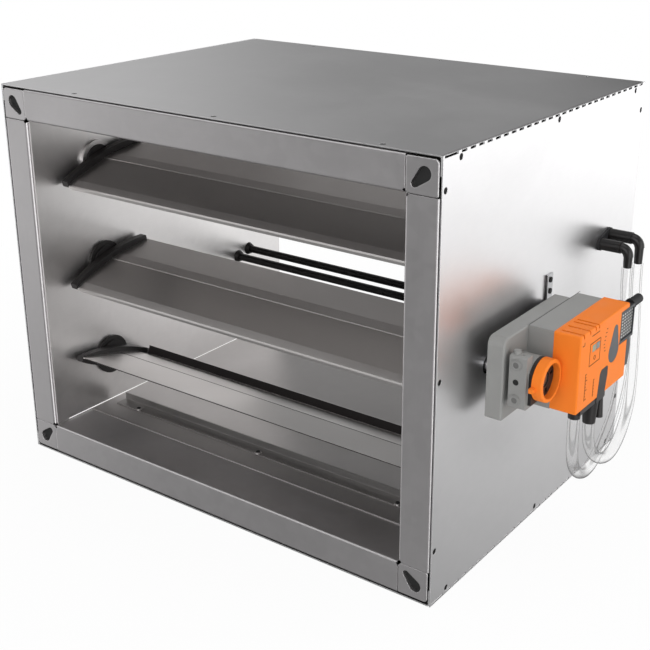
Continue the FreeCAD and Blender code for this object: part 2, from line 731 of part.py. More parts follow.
def wall_bush():
    """A plastic bush in the right wall on the X axis."""
    flange = rod(BUSH_FLANGE_R, (WALL_X - BUSH_FLANGE_T, 0, 0), (WALL_X, 0, 0))
    barrel = rod(BUSH_BARREL_R - 0.05, (WALL_X, 0, 0), (IN_X, 0, 0))
    barb = Part.makeCone(BUSH_BARB_R, BUSH_BARREL_R - 0.4, BUSH_BARB_T, V(IN_X, 0, 0), V(1, 0, 0))
    bore = rod(JOURNAL_R + JOURNAL_CLEAR, (WALL_X - 2 * BUSH_FLANGE_T, 0, 0), (BUSH_END + 1, 0, 0))
    return fuse([flange, barrel, barb]).cut(bore)


def build_bushes():
    """Six alike bushes, one at each end of each blade."""
    bush = wall_bush()
    pieces = []
    for i in range(BLADE_COUNT):
        right = moved(bush, 0, SHAFT_Y, shaft_z(i))
        pieces += [right, mirrored_x(right)]
    node("shaft_bushes", *pieces)


def tooth_half_angle(radius, pitch_r, base_r, teeth):
    """Half the angle that a tooth fills at a radius, in radians."""
    def roll(at):
        angle = math.acos(min(1.0, base_r / at))
        return math.tan(angle) - angle
    at_pitch = math.pi / (2 * teeth) - TOOTH_PLAY / (2 * pitch_r)
    return at_pitch + roll(pitch_r) - roll(max(radius, base_r))


def gear(teeth, phase, bore):
    """A spur gear on the X axis in the left side gap, with one tooth at the phase angle."""
    pitch_r = GEAR_MODULE * teeth / 2
    base_r = pitch_r * math.cos(math.radians(PRESSURE_ANGLE))
    root_r, tip_r = pitch_r - DEDENDUM * GEAR_MODULE, pitch_r + ADDENDUM * GEAR_MODULE
    radii = (root_r, pitch_r, tip_r)
    points = []
    for k in range(teeth):
        middle = math.radians(phase) + 2 * math.pi * k / teeth
        halves = [(r, tooth_half_angle(r, pitch_r, base_r, teeth)) for r in radii]
        flanks = [(r, middle - half) for r, half in halves]
        flanks += [(r, middle + half) for r, half in halves[::-1]]
        points += [(r * math.cos(a), r * math.sin(a)) for r, a in flanks]
    return prism(points, -GEAR_X - GEAR_W, -GEAR_X).cut(bore)


def build_gears():
    """The gear train: a same-way pair above the middle blade and an opposed pair below it."""
    pitch = 360 / GEAR_TEETH
    small_pitch = 360 / SMALL_TEETH
    big_r, small_r = (GEAR_MODULE * n / 2 for n in (GEAR_TEETH, SMALL_TEETH))
    hole = mirrored_x(square_bar(GEAR_X - 1, GEAR_X + GEAR_W + 1))
    phases = (90, 90, 90 + pitch / 2)
    for i, (name, phase) in enumerate(zip(("upper", "middle", "lower"), phases)):
        tilt = REST_TILT if i < BLADE_COUNT - 1 else -REST_TILT
        bore = turned(hole, tilt, axis=(1, 0, 0))
        node(name + "_gear", moved(gear(GEAR_TEETH, phase, bore), 0, SHAFT_Y, shaft_z(i)))
    eye = rod(PIN_R + PIN_CLEAR, (-GEAR_X - GEAR_W - 1, 0, 0), (-GEAR_X + 1, 0, 0))
    idlers = (("upper_idler", GEAR_TEETH, 90 + pitch / 2, shaft_z(0) - 2 * big_r),
              ("lower_idler_a", SMALL_TEETH, 90 + small_pitch / 2, shaft_z(1) - big_r - small_r),
              ("lower_idler_b", SMALL_TEETH, 90, shaft_z(1) - big_r - 3 * small_r))
    pins = []
    for name, teeth, phase, z in idlers:
        node(name, moved(gear(teeth, phase, eye), 0, SHAFT_Y, z))
        pins.append(moved(idler_pin(), 0, SHAFT_Y, z))
    node("idler_pins", *pins)


def idler_pin():
    """A shouldered pin on the outside of the left wall, with a head beyond the idler."""
    foot = rod(PIN_FOOT_R, (-IN_X, 0, 0), (-IN_X - PIN_FOOT_T, 0, 0))
    collar = rod(PIN_HEAD_R, (-IN_X - PIN_FOOT_T, 0, 0), (-GEAR_X + SEAT, 0, 0))
    pin = rod(PIN_R, (-GEAR_X + SEAT, 0, 0), (-GEAR_X - GEAR_W - SEAT, 0, 0))
    head_x = -GEAR_X - GEAR_W - SEAT
    head = rod(PIN_HEAD_R, (head_x, 0, 0), (head_x - PIN_HEAD_T, 0, 0))
    return fuse([foot, collar, pin, head])


def build_stops():
    """The angle strips on floor and roof that the closed blades lean on, between the end caps."""
    top = FLANGE_H + SHEET + STOP_H
    reach = shaft_z(BLADE_COUNT - 1) - top
    tilt = math.radians(CLOSED_TILT)
    chord = reach / math.sin(tilt)
    drop = skin(blade_skins()[0], -chord)
    face = SHAFT_Y + chord * math.cos(tilt) - drop * math.sin(tilt) - EDGE_CLEAR
    low = FLANGE_H + SHEET
    line = [(face - STOP_FOOT, low + STOP_T / 2), (face - STOP_T / 2, low + STOP_T / 2),
            (face - STOP_T / 2, top)]
    length = 2 * (CAP_IN - STOP_END_GAP)
    strip = moved(bent_sheet(line, STOP_T, STOP_T / 2).extrude(V(length, 0, 0)), -length / 2)
    node("blade_stops", strip, strip.mirror(V(0, 0, MID_Z), V(0, 0, 1)))


def build_floor_screws():
    """Pan-head screws that hold the stop strips to floor and roof."""
    tops = []
    y = SHAFT_Y - STOP_SCREW_AHEAD
    z = FLANGE_H + SHEET + STOP_T
    for x in spread(STOP_SCREW_LEFT - IN_X, IN_X - STOP_SCREW_RIGHT, STOP_SCREW_ROW):
        head = rod(STOP_SCREW_R, (x, y, z), (x, y, z + STOP_SCREW_H))
        rim = [e for e in head.Edges if abs(e.CenterOfMass.z - z - STOP_SCREW_H) < 0.01]
        head = head.makeFillet(STOP_SCREW_ROUND, rim)
        tops += [head, head.mirror(V(0, 0, MID_Z), V(0, 0, 1))]
    node("stop_screws", *tops)


# Pressure probes
def level_rods(level):
    """The (y, z) places of the front and rear rod of one level."""
    y = -FRONT - ROD_REAR_DEPTH - ROD_SPACING
    return [(y, level - ROD_STEP / 2), (y + ROD_SPACING, level + ROD_STEP / 2)]


def lower_rods():
    """The rod pair behind the gap between the middle and lower blades."""
    return level_rods(MID_Z - PROBE_OFFSET)


def upper_rods():
    """The rod pair behind the gap between the upper and middle blades."""
    return level_rods(MID_Z + PROBE_OFFSET)


def rod_places():
    """All four rods as (y, z) places."""
    return lower_rods() + upper_rods()


def probe_rod(y, z):
    """A tube across the duct with a row of sensing holes that face the air flow."""
    start, end = -WALL_X + SOCKET_T - SOCKET_BITE, HUB_X
    tube = rod(ROD_R, (start, y, z), (end, y, z))
    count = int((DUCT_W - ROD_HOLE_PITCH) // ROD_HOLE_PITCH)
    holes = []
    for i in range(count):
        x = (i - (count - 1) / 2) * ROD_HOLE_PITCH
        holes.append(rod(ROD_HOLE_R, (x, y - 2 * ROD_R, z), (x, y, z)))
    return tube.cut(holes)


def wall_socket(y, z, blind):
    """The moulded foot of a rod on the right wall; a blind one has no way through."""
    cone = Part.makeCone(ROD_R + 1.2, SOCKET_R, SOCKET_T, V(WALL_X - SOCKET_T, y, z), V(1, 0, 0))
    depth = WALL_X - SOCKET_T + SOCKET_BITE if blind else WALL_X + 1
    return cone.cut(rod(ROD_R, (WALL_X - 2 * SOCKET_T, y, z), (depth, y, z)))


def riser(low, high):
    """A tube in the side gap that joins the rods of two levels."""
    y, z0 = low
    z1 = high[1]
    hubs = [rod(HUB_R, (HUB_X, y, z), (HUB_X + HUB_L, y, z)) for z in (z0, z1)]
    x = HUB_X + HUB_L / 2
    return fuse(hubs + [rod(RISER_R, (x, y, z0), (x, y, z1))])


def build_probes():
    """Rod pairs on two levels, their wall sockets and the tubes that join them."""
    node("lower_probe_rods", *[probe_rod(y, z) for y, z in lower_rods()])
    node("upper_probe_rods", *[probe_rod(y, z) for y, z in upper_rods()])
    sockets = [wall_socket(y, z, False) for y, z in rod_places()]
    sockets += [mirrored_x(wall_socket(y, z, True)) for y, z in rod_places()]
    node("probe_sockets", *sockets)
    node("riser_tubes", *[riser(a, b) for a, b in zip(lower_rods(), upper_rods())])


def elbow(y, z, reach, drop):
    """A hose elbow that comes out of the right side and turns down."""
    start = HUB_X + HUB_L
    out = JACKET_X + reach
    bend = ELBOW_BEND_R
    neck = rod(ELBOW_NECK_R, (start, y, z), (JACKET_X + GROMMET_T, y, z))
    a, b = V(JACKET_X + GROMMET_T, y, z), V(out - bend, y, z)
    c = V(out, y, z - bend)
    mid = V(out - bend * (1 - math.sin(math.pi / 4)), y, z - bend * (1 - math.sin(math.pi / 4)))
    spine = Part.Wire([Part.makeLine(a, b), Part.Arc(b, mid, c).toShape()])
    circle = Part.Wire(Part.makeCircle(ELBOW_R, a, V(1, 0, 0)))
    body = spine.makePipeShell([circle], True, True)
    sleeve = Part.makeCylinder(ELBOW_SLEEVE_R, (b - a).Length, a, V(1, 0, 0))
    leg = Part.makeCone(ELBOW_R - ELBOW_COLLAR, HOSE_BORE_R + 0.4, drop - bend, c, V(0, 0, -1))
    return fuse([neck, body, sleeve, leg])


def build_outlet():
    """The grommet and elbows where the probe tubes leave the casing."""
    (y0, z0), (y1, z1) = upper_rods()
    x0, x1 = JACKET_X, JACKET_X + GROMMET_T
    ends = [rod(GROMMET_R, (x0, y, z), (x1, y, z)) for y, z in upper_rods()]
    angle = math.degrees(math.atan2(z1 - z0, y1 - y0))
    reach = math.hypot(y1 - y0, z1 - z0)
    middle = turned(box((x0, 0, -GROMMET_R), (x1, reach, GROMMET_R)), angle, axis=(1, 0, 0))
    middle = moved(middle, 0, y0, z0)
    holes = [rod(ELBOW_NECK_R, (x0 - 1, y, z), (x1 + 1, y, z)) for y, z in upper_rods()]
    node("tube_grommet", fuse(ends + [middle]).cut(holes))
    sizes = zip(upper_rods(), ELBOW_OUT, ELBOW_DROP)
    node("tube_elbows", *[elbow(y, z, reach, drop) for (y, z), reach, drop in sizes])


# Actuator
def bored(shape, radius, x0, x1):
    """Cut a round hole about the middle shaft."""
    return shape.cut(rod(radius, (x0, SHAFT_Y, shaft_z(1)), (x1, SHAFT_Y, shaft_z(1))))


def rounded_box(low, high, radius, pick):
    """A box with the edges that pick chooses rounded."""
    block = box(low, high)
    return block.makeFillet(radius, [e for e in block.Edges if pick(e)])


def build_base():
    """The actuator's lower housing, next to the casing."""
    low = (BASE_X, SHAFT_Y - BASE_FRONT, shaft_z(1) - BASE_DROP)
    high = (BODY_X, SHAFT_Y - BASE_FRONT + BASE_L, shaft_z(1) + ACT_HALF_H)

    def front_corner(edge, above):
        along_x = edge.BoundBox.XLength > 0.9 * BASE_T and edge.CenterOfMass.y < SHAFT_Y
        return along_x and (edge.CenterOfMass.z > shaft_z(1)) == above

    base = rounded_box(low, high, BASE_ROUND, lambda e: front_corner(e, True))
    base = base.makeFillet(BASE_FOOT_ROUND, [e for e in base.Edges if front_corner(e, False)])
    rim = [e for e in base.Edges if abs(e.CenterOfMass.x - BODY_X) < 0.01 and e.CenterOfMass.y < SHAFT_Y]
    base = base.makeFillet(COVER_ROUND, rim)
    node("actuator_base", bored(base, JOURNAL_R + BORE_CLEAR, BASE_X - 1, BODY_X + 1))


def build_body():
    """The grey middle housing, with the shaft block, its front lip, the bosses and the bores."""
    z = shaft_z(1)
    low, top = z - BLOCK_HALF_H, z + BLOCK_HALF_H
    front = SHAFT_Y - BLOCK_FRONT
    lip_back, end_x = front + BLOCK_LIP_T, BLOCK_X + BLOCK_T
    middle_x, pin_x = BLOCK_X + BOSS_IN, BLOCK_X + 1.5 * BOSS_IN
    main = box((BODY_X, COVER_Y, z - ACT_HALF_H), (COVER_X, COVER_Y + BODY_L, z + ACT_HALF_H))
    lip = rounded_box((BLOCK_X, front, low), (end_x, lip_back, top), BLOCK_ROUND,
                      lambda e: e.BoundBox.XLength > BLOCK_T - 1 and e.CenterOfMass.y < front + 1)
    link = box((BLOCK_X, lip_back, low), (end_x, COVER_Y, z + BLOCK_LINK_H))
    foot = box((BODY_X, COVER_Y - 12.0, low + 4.0), (BLOCK_X, COVER_Y, z + BLOCK_LINK_H))
    catch = rod(CATCH_R, (BLOCK_X + 4.2, front + 4.5, top), (BLOCK_X + 4.2, front + 4.5, top + CATCH_H))
    bosses = [rod(BOSS_R, (middle_x, front - BOSS_H, z + s * BOSS_AT), (middle_x, front + 1, z + s * BOSS_AT))
              for s in (-1, 1)]
    screw_way = rod(CLAMP_SCREW_R, (middle_x, front - 5, z), (middle_x, SHAFT_Y, z))
    pin_way = rod(PIN_WAY_R, (pin_x, front + 5.0, top - 4.0), (pin_x, front + 5.0, top + 1.0))
    collar = round_foot(BLOCK_X, RING_X - RING_GAP - PLATE_T)
    body = fuse([main, lip, link, foot, catch, collar] + bosses).cut([screw_way, pin_way])
    node("actuator_body", bored(body, JOURNAL_R + BORE_CLEAR, BODY_X - 1, COVER_X + 1))
    tip = SHAFT_Y - JOURNAL_R - BORE_CLEAR - 0.6
    node("clamp_screw", rod(CLAMP_SCREW_R - 0.1, (middle_x, front + 3.0, z), (middle_x, tip, z)))


def round_foot(x0, x1):
    """A plate about the middle shaft: a round top on a square foot, cut off at the cover's front."""
    z = shaft_z(1)
    disc = rod(PLATE_R, (x0, SHAFT_Y, z), (x1, SHAFT_Y, z))
    front = SHAFT_Y - PLATE_FRONT
    disc = disc.cut(box((x0 - 1, front - PLATE_R, z - 2 * PLATE_R), (x1 + 1, front, z + 2 * PLATE_R)))
    foot = box((x0, front, z - PLATE_DROP), (x1, SHAFT_Y + 2.0, z))
    stop = box((x0 - 1, COVER_Y, z - 2 * PLATE_R), (x1 + 1, COVER_Y + PLATE_R, z + 2 * PLATE_R))
    return fuse([disc, foot]).cut(stop)


def build_plate():
    """The black bearing plate between the shaft block's collar and the ring."""
    x1 = RING_X - RING_GAP
    plate = round_foot(x1 - PLATE_T, x1)
    node("bearing_plate", bored(plate, JOURNAL_R + BORE_CLEAR, x1 - PLATE_T - 1, x1 + 1))


def build_ring():
    """The orange ring that shows the blade position, and the shaft clamp inside it."""
    z = shaft_z(1)
    clamp = rod(RING_BORE_R, (RING_X, SHAFT_Y, z), (RING_X + CLAMP_T, SHAFT_Y, z))
    face = RING_X + CLAMP_T
    slot = box((face - 1.2, -1.4, JOURNAL_R + 2.0), (face + 1, 1.4, RING_BORE_R - 1.5))
    slots = [moved(turned(slot, 90 * k + REST_TILT, axis=(1, 0, 0)), 0, SHAFT_Y, z) for k in range(4)]
    node("shaft_clamp", bored(clamp.cut(slots), JOURNAL_R, RING_X - 1, RING_X + RING_T))
    ring = rod(RING_R, (RING_X, SHAFT_Y, z), (RING_X + RING_T, SHAFT_Y, z))
    rims = [e for e in ring.Edges if abs(e.CenterOfMass.x - RING_X - RING_T) < 0.01]
    ring = bored(ring.makeFillet(1.2, rims), RING_BORE_R, RING_X - 1, RING_X + RING_T + 1)
    nub = box((RING_X, SHAFT_Y - RING_R - RING_NUB, z - NUB_DROP),
              (RING_X + 3.5, SHAFT_Y - RING_R + 1.0, z - 0.6))
    node("position_ring", fuse([ring, nub]))


def cover_frame():
    """Faces of the orange cover: front, back, bottom and top."""
    z = shaft_z(1)
    return COVER_Y, COVER_Y + COVER_L, z - ACT_HALF_H, z + ACT_HALF_H


def teardrop(clear):
    """The dark drop-shaped window on the cover's face, larger by a clearance."""
    front, _, low, _ = cover_frame()
    x = COVER_END_X - INLAY_SINK
    (y0, z0, r0), (y1, z1, r1) = [(front + y, low + z, r + clear) for y, z, r in (DROP_BIG, DROP_SMALL)]
    heading = math.atan2(z1 - z0, y1 - y0)
    lean = math.acos((r0 - r1) / math.hypot(y1 - y0, z1 - z0))
    touch = []
    for y, z, r, hand in ((y0, z0, r0, 1), (y1, z1, r1, 1), (y1, z1, r1, -1), (y0, z0, r0, -1)):
        angle = heading + hand * lean
        touch.append((y + r * math.cos(angle), z + r * math.sin(angle)))
    ends = [rod(r, (x, y, z), (COVER_END_X, y, z)) for y, z, r in ((y0, z0, r0), (y1, z1, r1))]
    return fuse(ends + [prism(touch, x, COVER_END_X)])


def strap(clear, drop):
    """The dark strap that runs down the cover's face, from its (y, z) outline."""
    front, _, low, _ = cover_frame()
    middle = sum(y for y, _ in STRAP) / len(STRAP)
    points = []
    for y, z in STRAP:
        side = clear if y > middle else -clear
        points.append((front + y + side, low + (z + clear if z > 0 else -drop)))
    return prism(points, COVER_END_X - INLAY_SINK, COVER_END_X)


def face_pocket(place, clear, depth):
    """A cutter or a piece in the cover's face, from its (y0, y1, z0, z1) place."""
    front, _, low, _ = cover_frame()
    y0, y1, z0, z1 = place
    return box((COVER_END_X - depth, front + y0 - clear, low + z0 - clear),
               (COVER_END_X, front + y1 + clear, low + z1 + clear))


def build_cover():
    """The orange cover with vents, inlay pockets, button hole and the cut for the socket."""
    front, back, low, high = cover_frame()
    cover = box((COVER_X, front, low), (COVER_END_X, back, high))
    outer = [e for e in cover.Edges if abs(e.CenterOfMass.x - COVER_END_X) < 0.01
             or e.BoundBox.XLength > COVER_T / 2]
    cover = cover.makeFillet(COVER_ROUND, outer)
    cuts = [teardrop(INLAY_CLEAR), strap(INLAY_CLEAR, 1.0),
            face_pocket(WINDOW_PLACE, INLAY_CLEAR, INLAY_SINK),
            face_pocket(BUTTON_PLACE, BUTTON_FIT, BUTTON_L + BUTTON_TRAVEL + SEAT)]
    for at in VENT_AT:
        y = front + at
        cuts.append(box((COVER_END_X - VENT_L, y, high - VENT_D), (COVER_END_X + 1, y + VENT_W, high + 1)))
        cuts.append(box((COVER_END_X - VENT_D, y, high - VENT_DOWN), (COVER_END_X + 1, y + VENT_W, high)))
    sx, sz = COVER_END_X - SOCKET_T_X, low + SOCKET_LOW
    cuts.append(box((sx - SEAT, back - SOCKET_LAP - SEAT, sz - SEAT),
                    (COVER_END_X + 1, back + 1, sz + SOCKET_H + SEAT)))
    node("actuator_cover", cover.cut(cuts))
    node("cover_window", teardrop(0.0))
    node("status_window", face_pocket(WINDOW_PLACE, 0.0, INLAY_SINK))
    button = moved(face_pocket(BUTTON_PLACE, 0.0, BUTTON_L), BUTTON_PROUD)
    rim = [e for e in button.Edges if abs(e.CenterOfMass.x - COVER_END_X - BUTTON_PROUD) < 0.01]
    node("release_button", button.makeFillet(0.6, rim))
    build_socket(sx, back, sz)


def build_socket(sx, back, sz):
    """The dark service socket at the cover's rear end, its lower flap and the cable gland."""
    front = back - SOCKET_LAP
    block = rounded_box((sx, front, sz), (COVER_END_X, front + SOCKET_L, sz + SOCKET_H), SOCKET_ROUND,
                        lambda e: e.BoundBox.XLength > SOCKET_T_X / 2)
    dish = box((COVER_END_X - DISH_D, front + DISH_RIM, sz + DISH_RIM),
               (COVER_END_X + 1, front + SOCKET_L - DISH_END, sz + SOCKET_H - DISH_RIM))
    flap = prism([(back + SEAT + y, sz + z) for y, z in FLAP], sx + FLAP_IN, COVER_END_X - FLAP_SINK)
    node("service_socket", fuse([block.cut(dish), flap]))
    gx, gz, gy = COVER_END_X - GLAND_IN, sz + SOCKET_H - GLAND_DOWN, front + SOCKET_L
    neck = rod(GLAND_R + GLAND_STEP, (gx, gy, gz), (gx, gy + GLAND_NECK, gz))
    sleeve = rod(GLAND_R, (gx, gy + GLAND_NECK, gz), (gx, gy + GLAND_L, gz))
    rim = [e for e in sleeve.Edges if abs(e.CenterOfMass.y - gy - GLAND_L) < 0.01]
    node("cable_gland", fuse([neck, sleeve.makeFillet(0.6, rim)]))


def port_end(k):
    """Where a hose port ends below the cover."""
    front, _, low, _ = cover_frame()
    return COVER_END_X - PORT_IN[k], front + PORT_AT[k], low - PORT_DROP[k]


def build_ports():
    """The dark moulding under the cover: a plate, the strap on the face and three hose ports."""
    front, _, low, _ = cover_frame()
    plate = box((COVER_X + PORT_PLATE_SIDE, front + PORT_AT[0] - PORT_PLATE_END, low - PORT_PLATE_T),
                (COVER_END_X - 2 * SEAT, front + PORT_AT[2] + PORT_PLATE_TAIL, low))
    stem = box((COVER_END_X - INLAY_SINK, front + STRAP[0][0], low - PORT_PLATE_T),
               (COVER_END_X, front + STRAP[1][0], low))
    pieces = [plate, strap(0.0, 1.0), stem]
    for k, drop in enumerate(PORT_DROP):
        x, y, _ = port_end(k)
        pieces.append(Part.makeCone(PORT_TOP_R[k], PORT_END_R[k], drop, V(x, y, low), V(0, 0, -1)))
    node("hose_ports", fuse(pieces))


def bracket_screw_places():
    """The (y, z) places of the torque bracket's screws in the casing's side."""
    y = SHAFT_Y - BASE_FRONT + BASE_L + BRACKET_GAP + BRACKET_W - BRACKET_SCREW_IN
    z = shaft_z(1)
    return [(y, z + BRACKET_TOP - at) for at in BRACKET_SCREW_AT] + [(y, z - BRACKET_DROP + 6.0)]


def build_bracket():
    """The folded bracket that keeps the actuator from turning, and its screws."""
    back = SHAFT_Y - BASE_FRONT + BASE_L
    y = back + BRACKET_GAP
    z = shaft_z(1)
    half = BRACKET_T / 2
    line = [(y + BRACKET_W, JACKET_X + half), (y + half, JACKET_X + half), (y + half, BASE_X - half),
            (back - BRACKET_TAB, BASE_X - half)]
    folded = bent_sheet(line, BRACKET_T, BRACKET_T / 2)
    folded = folded.extrude(V(BRACKET_TOP + BRACKET_DROP, 0, 0))
    matrix = FreeCAD.Matrix(0, 0, 1, 0, 0, 1, 0, 0, 1, 0, 0, z - BRACKET_DROP, 0, 0, 0, 1)
    piece = folded.transformGeometry(matrix)
    trim = box((JACKET_X + BRACKET_T + BRACKET_LEAVE, -CASE_D, z + ACT_HALF_H - 8.0),
               (BASE_X + 1, CASE_D, z + BRACKET_TOP + 1))
    holes = [rod(BRACKET_SCREW_R, (JACKET_X - 1, a, b), (JACKET_X + 4, a, b))
             for a, b in bracket_screw_places()]
    node("torque_bracket", piece.cut([trim] + holes))
    screws = []
    for a, b in bracket_screw_places():
        shank = rod(BRACKET_SCREW_R - 0.1, (JACKET_X - 1.8, a, b), (JACKET_X + BRACKET_T, a, b))
        head = rod(BRACKET_HEAD_R, (JACKET_X + BRACKET_T, a, b),
                   (JACKET_X + BRACKET_T + BRACKET_HEAD_H, a, b))
        screws.append(fuse([shank, head]))
    node("bracket_screws", *screws)


# Hoses
def hose(name, route):
    """A round hose of straight runs joined by tangent arcs as large as the runs allow."""
    edges, radii, at = [], [], route[0]
    for before, corner, after in zip(route, route[1:], route[2:]):
        come, go = (corner - before), (after - corner)
        turn = come.getAngle(go)
        cut = 0.45 * min(come.Length, go.Length)
        radius = cut / math.tan(turn / 2)
        radii.append(radius)
        come.normalize()
        go.normalize()
        start, end = corner - come * cut, corner + go * cut
        inward = (go - come).normalize()
        middle = corner + inward * (radius / math.cos(turn / 2) - radius)
        edges += [Part.LineSegment(at, start).toShape(), Part.Arc(start, middle, end).toShape()]
        at = end
    edges.append(Part.LineSegment(at, route[-1]).toShape())
    spine = Part.Wire(edges)
    circle = Part.Wire(Part.makeCircle(HOSE_R, route[0], route[1] - route[0]))
    tube = spine.makePipeShell([circle], True, True)
    share = tube.Volume / (math.pi * HOSE_R ** 2 * spine.Length)
    print(name, "length", round(spine.Length, 1), "volume share", round(share, 4),
          "radii", [round(r, 1) for r in radii])
    node(name, tube)


def build_hoses():
    """The two clear hoses from the elbows down and round to the ports."""
    sizes = zip(upper_rods(), ELBOW_OUT, ELBOW_DROP)
    starts = [V(JACKET_X + reach, y, z - drop) for (y, z), reach, drop in sizes]
    ends = [V(*port_end(k)) for k in (0, 1)]
    for name, start, end, shape, tail in (
            ("front_hose", starts[0], ends[0], FRONT_HOSE_STEPS, FRONT_HOSE_TAIL),
            ("rear_hose", starts[1], ends[1], REAR_HOSE_STEPS, REAR_HOSE_TAIL)):
        route = [start]
        for x, y, z in shape:
            share = (x - shape[0][0]) / (shape[-1][0] - shape[0][0])
            route.append(V(x, y, z) + hose_shift(start, end, shape, share, tail))
        hose(name, route + [end])


def hose_shift(start, end, shape, share, tail):
    """How far a hose point moves when its elbow or its port is placed elsewhere."""
    at_start = V(start.x - shape[0][0], start.y - shape[0][1], start.z - HOSE_LEAD - shape[0][2])
    at_end = V(end.x - shape[-1][0], end.y - shape[-1][1], end.z - tail - shape[-1][2])
    return at_start * (1 - share) + at_end * share


def main():
    """Build every piece and write one file for each node."""
    build_flanges()
    build_duct()
    build_jacket()
    build_blades()
    build_shaft()
    build_bushes()
    build_gears()
    build_stops()
    build_floor_screws()
    build_probes()
    build_outlet()
    build_base()
    build_body()
    build_cover()
    build_ports()
    build_plate()
    build_ring()
    build_bracket()
    build_hoses()
    os.makedirs("parts", exist_ok=True)
    for name, shapes in NODES.items():
        shape = shapes[0] if len(shapes) == 1 else Part.makeCompound(shapes)
        shape.exportStep(os.path.join("parts", name + ".step"))
        solids = shape.Solids
        if not shape.isValid() or len(solids) != len(shapes):
            print("look at", name, "valid", shape.isValid(), "solids", len(solids), "of", len(shapes))
    print("nodes", len(NODES))


main()
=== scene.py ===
"""Looks of an insulated variable air volume box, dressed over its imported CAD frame.

The casing is galvanised sheet, the damper blades are extruded aluminium in black end caps, and the
actuator has a grey housing with an orange cover and clear hoses. Metres, in the frame of the CAD model.
"""

import logging
import math
from dataclasses import dataclass, field
from enum import Enum

import bmesh
import bpy
from mathutils import Matrix, Vector

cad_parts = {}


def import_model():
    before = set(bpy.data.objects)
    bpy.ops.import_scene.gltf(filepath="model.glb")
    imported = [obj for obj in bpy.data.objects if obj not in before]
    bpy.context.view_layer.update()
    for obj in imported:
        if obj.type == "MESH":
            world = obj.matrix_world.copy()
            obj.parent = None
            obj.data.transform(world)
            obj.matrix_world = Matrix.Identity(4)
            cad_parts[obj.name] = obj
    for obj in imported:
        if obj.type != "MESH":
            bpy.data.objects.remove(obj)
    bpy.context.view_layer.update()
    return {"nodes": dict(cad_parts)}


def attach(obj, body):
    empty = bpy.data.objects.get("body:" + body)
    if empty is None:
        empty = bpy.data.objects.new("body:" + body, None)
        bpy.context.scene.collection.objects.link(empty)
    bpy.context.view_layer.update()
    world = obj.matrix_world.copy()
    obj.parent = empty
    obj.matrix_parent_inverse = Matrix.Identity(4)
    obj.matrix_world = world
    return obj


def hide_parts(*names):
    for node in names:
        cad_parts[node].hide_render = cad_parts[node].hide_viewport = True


log = logging.getLogger("vav_box")
MM = 0.001
Colour = tuple[float, float, float]
Point = tuple[float, float, float]
Stops = tuple[tuple[float, float], ...]
Inputs = dict[str | int, object]
RIGHT: Point = (1.0, 0.0, 0.0)
UP: Point = (0.0, 0.0, 1.0)
FRONT: Point = (0.0, -1.0, 0.0)
# Inner radius, in millimetres, of the rings that read as full discs
DISC_HOLE = 0.05
LEVELS = ("upper", "middle", "lower")


class Grain(Enum):
    """Direction in which a sheet was rolled or a bar drawn."""

    ALONG_X = (0.06, 1.0, 1.0)
    ALONG_Y = (1.0, 0.06, 1.0)
    ALONG_Z = (1.0, 1.0, 0.06)


@dataclass
class NodeBench:
    """Adds nodes to one shader tree and wires them."""

    tree: bpy.types.NodeTree

    def add(self, kind: str, inputs: Inputs | None = None, **settings: object) -> bpy.types.Node:
        """Adds one node.

        Args:
            kind: the node's type name.
            inputs: what goes into its inputs.
            settings: properties of the node.

        Returns:
            The new node.
        """
        node = self.tree.nodes.new(kind)
        for key, value in settings.items():
            setattr(node, key, value)
        self.fill(node, inputs or {})
        return node

    def fill(self, node: bpy.types.Node, inputs: Inputs) -> None:
        """Fills a node's inputs.

        Args:
            node: the node.
            inputs: a socket to join or a plain value for each input, by its name or number.
        """
        for key, value in inputs.items():
            if isinstance(value, bpy.types.NodeSocket):
                self.tree.links.new(value, node.inputs[key])
            else:
                node.inputs[key].default_value = value

    def math(self, operation: str, first: object, second: object = 0.0,
             clamp: bool = False) -> bpy.types.NodeSocket:
        """Adds a Math node.

        Args:
            operation: the sum that it does.
            first: a socket or a number.
            second: a socket or a number.
            clamp: whether the result stays from 0 to 1.

        Returns:
            The output socket.
        """
        node = self.add("ShaderNodeMath", {0: first, 1: second}, operation=operation, use_clamp=clamp)
        return node.outputs[0]

    def blend(self, share: bpy.types.NodeSocket, low: Colour, high: Colour) -> bpy.types.NodeSocket:
        """Mixes two colours by a share.

        Args:
            share: the socket that says how much of the second colour shows.
            low: the first colour.
            high: the second colour.

        Returns:
            The colour socket.
        """
        node = self.add("ShaderNodeMix", {"Factor": share, 6: (*low, 1.0), 7: (*high, 1.0)}, data_type="RGBA")
        return node.outputs[2]

    def ramp(self, source: bpy.types.NodeSocket, stops: Stops) -> bpy.types.NodeSocket:
        """Turns a value into another one by a row of stops.

        Args:
            source: the value socket.
            stops: places from 0 to 1 and their grey values.

        Returns:
            The output socket.
        """
        node = self.add("ShaderNodeValToRGB", {0: source})
        points = node.color_ramp.elements
        while len(points) < len(stops):
            points.new(0.5)
        for point, (place, value) in zip(points, stops):
            point.position = place
            point.color = (value, value, value, 1.0)
        return node.outputs[0]

    def seen(self) -> bpy.types.NodeSocket:
        """Tells what the camera sees, straight or through a clear piece, from what only lights the box.

        Returns:
            A socket that is 1 where it is seen.
        """
        rays = self.add("ShaderNodeLightPath")
        return self.math("MAXIMUM", rays.outputs["Is Camera Ray"], rays.outputs["Is Transmission Ray"])

    def mix(self, share: bpy.types.NodeSocket, first: bpy.types.Node,
            second: bpy.types.Node) -> bpy.types.NodeSocket:
        """Mixes two shaders.

        Args:
            share: the socket that says how much of the second one shows.
            first: the first shader.
            second: the second shader.

        Returns:
            The shader socket.
        """
        node = self.add("ShaderNodeMixShader", {0: share, 1: first.outputs[0], 2: second.outputs[0]})
        return node.outputs[0]


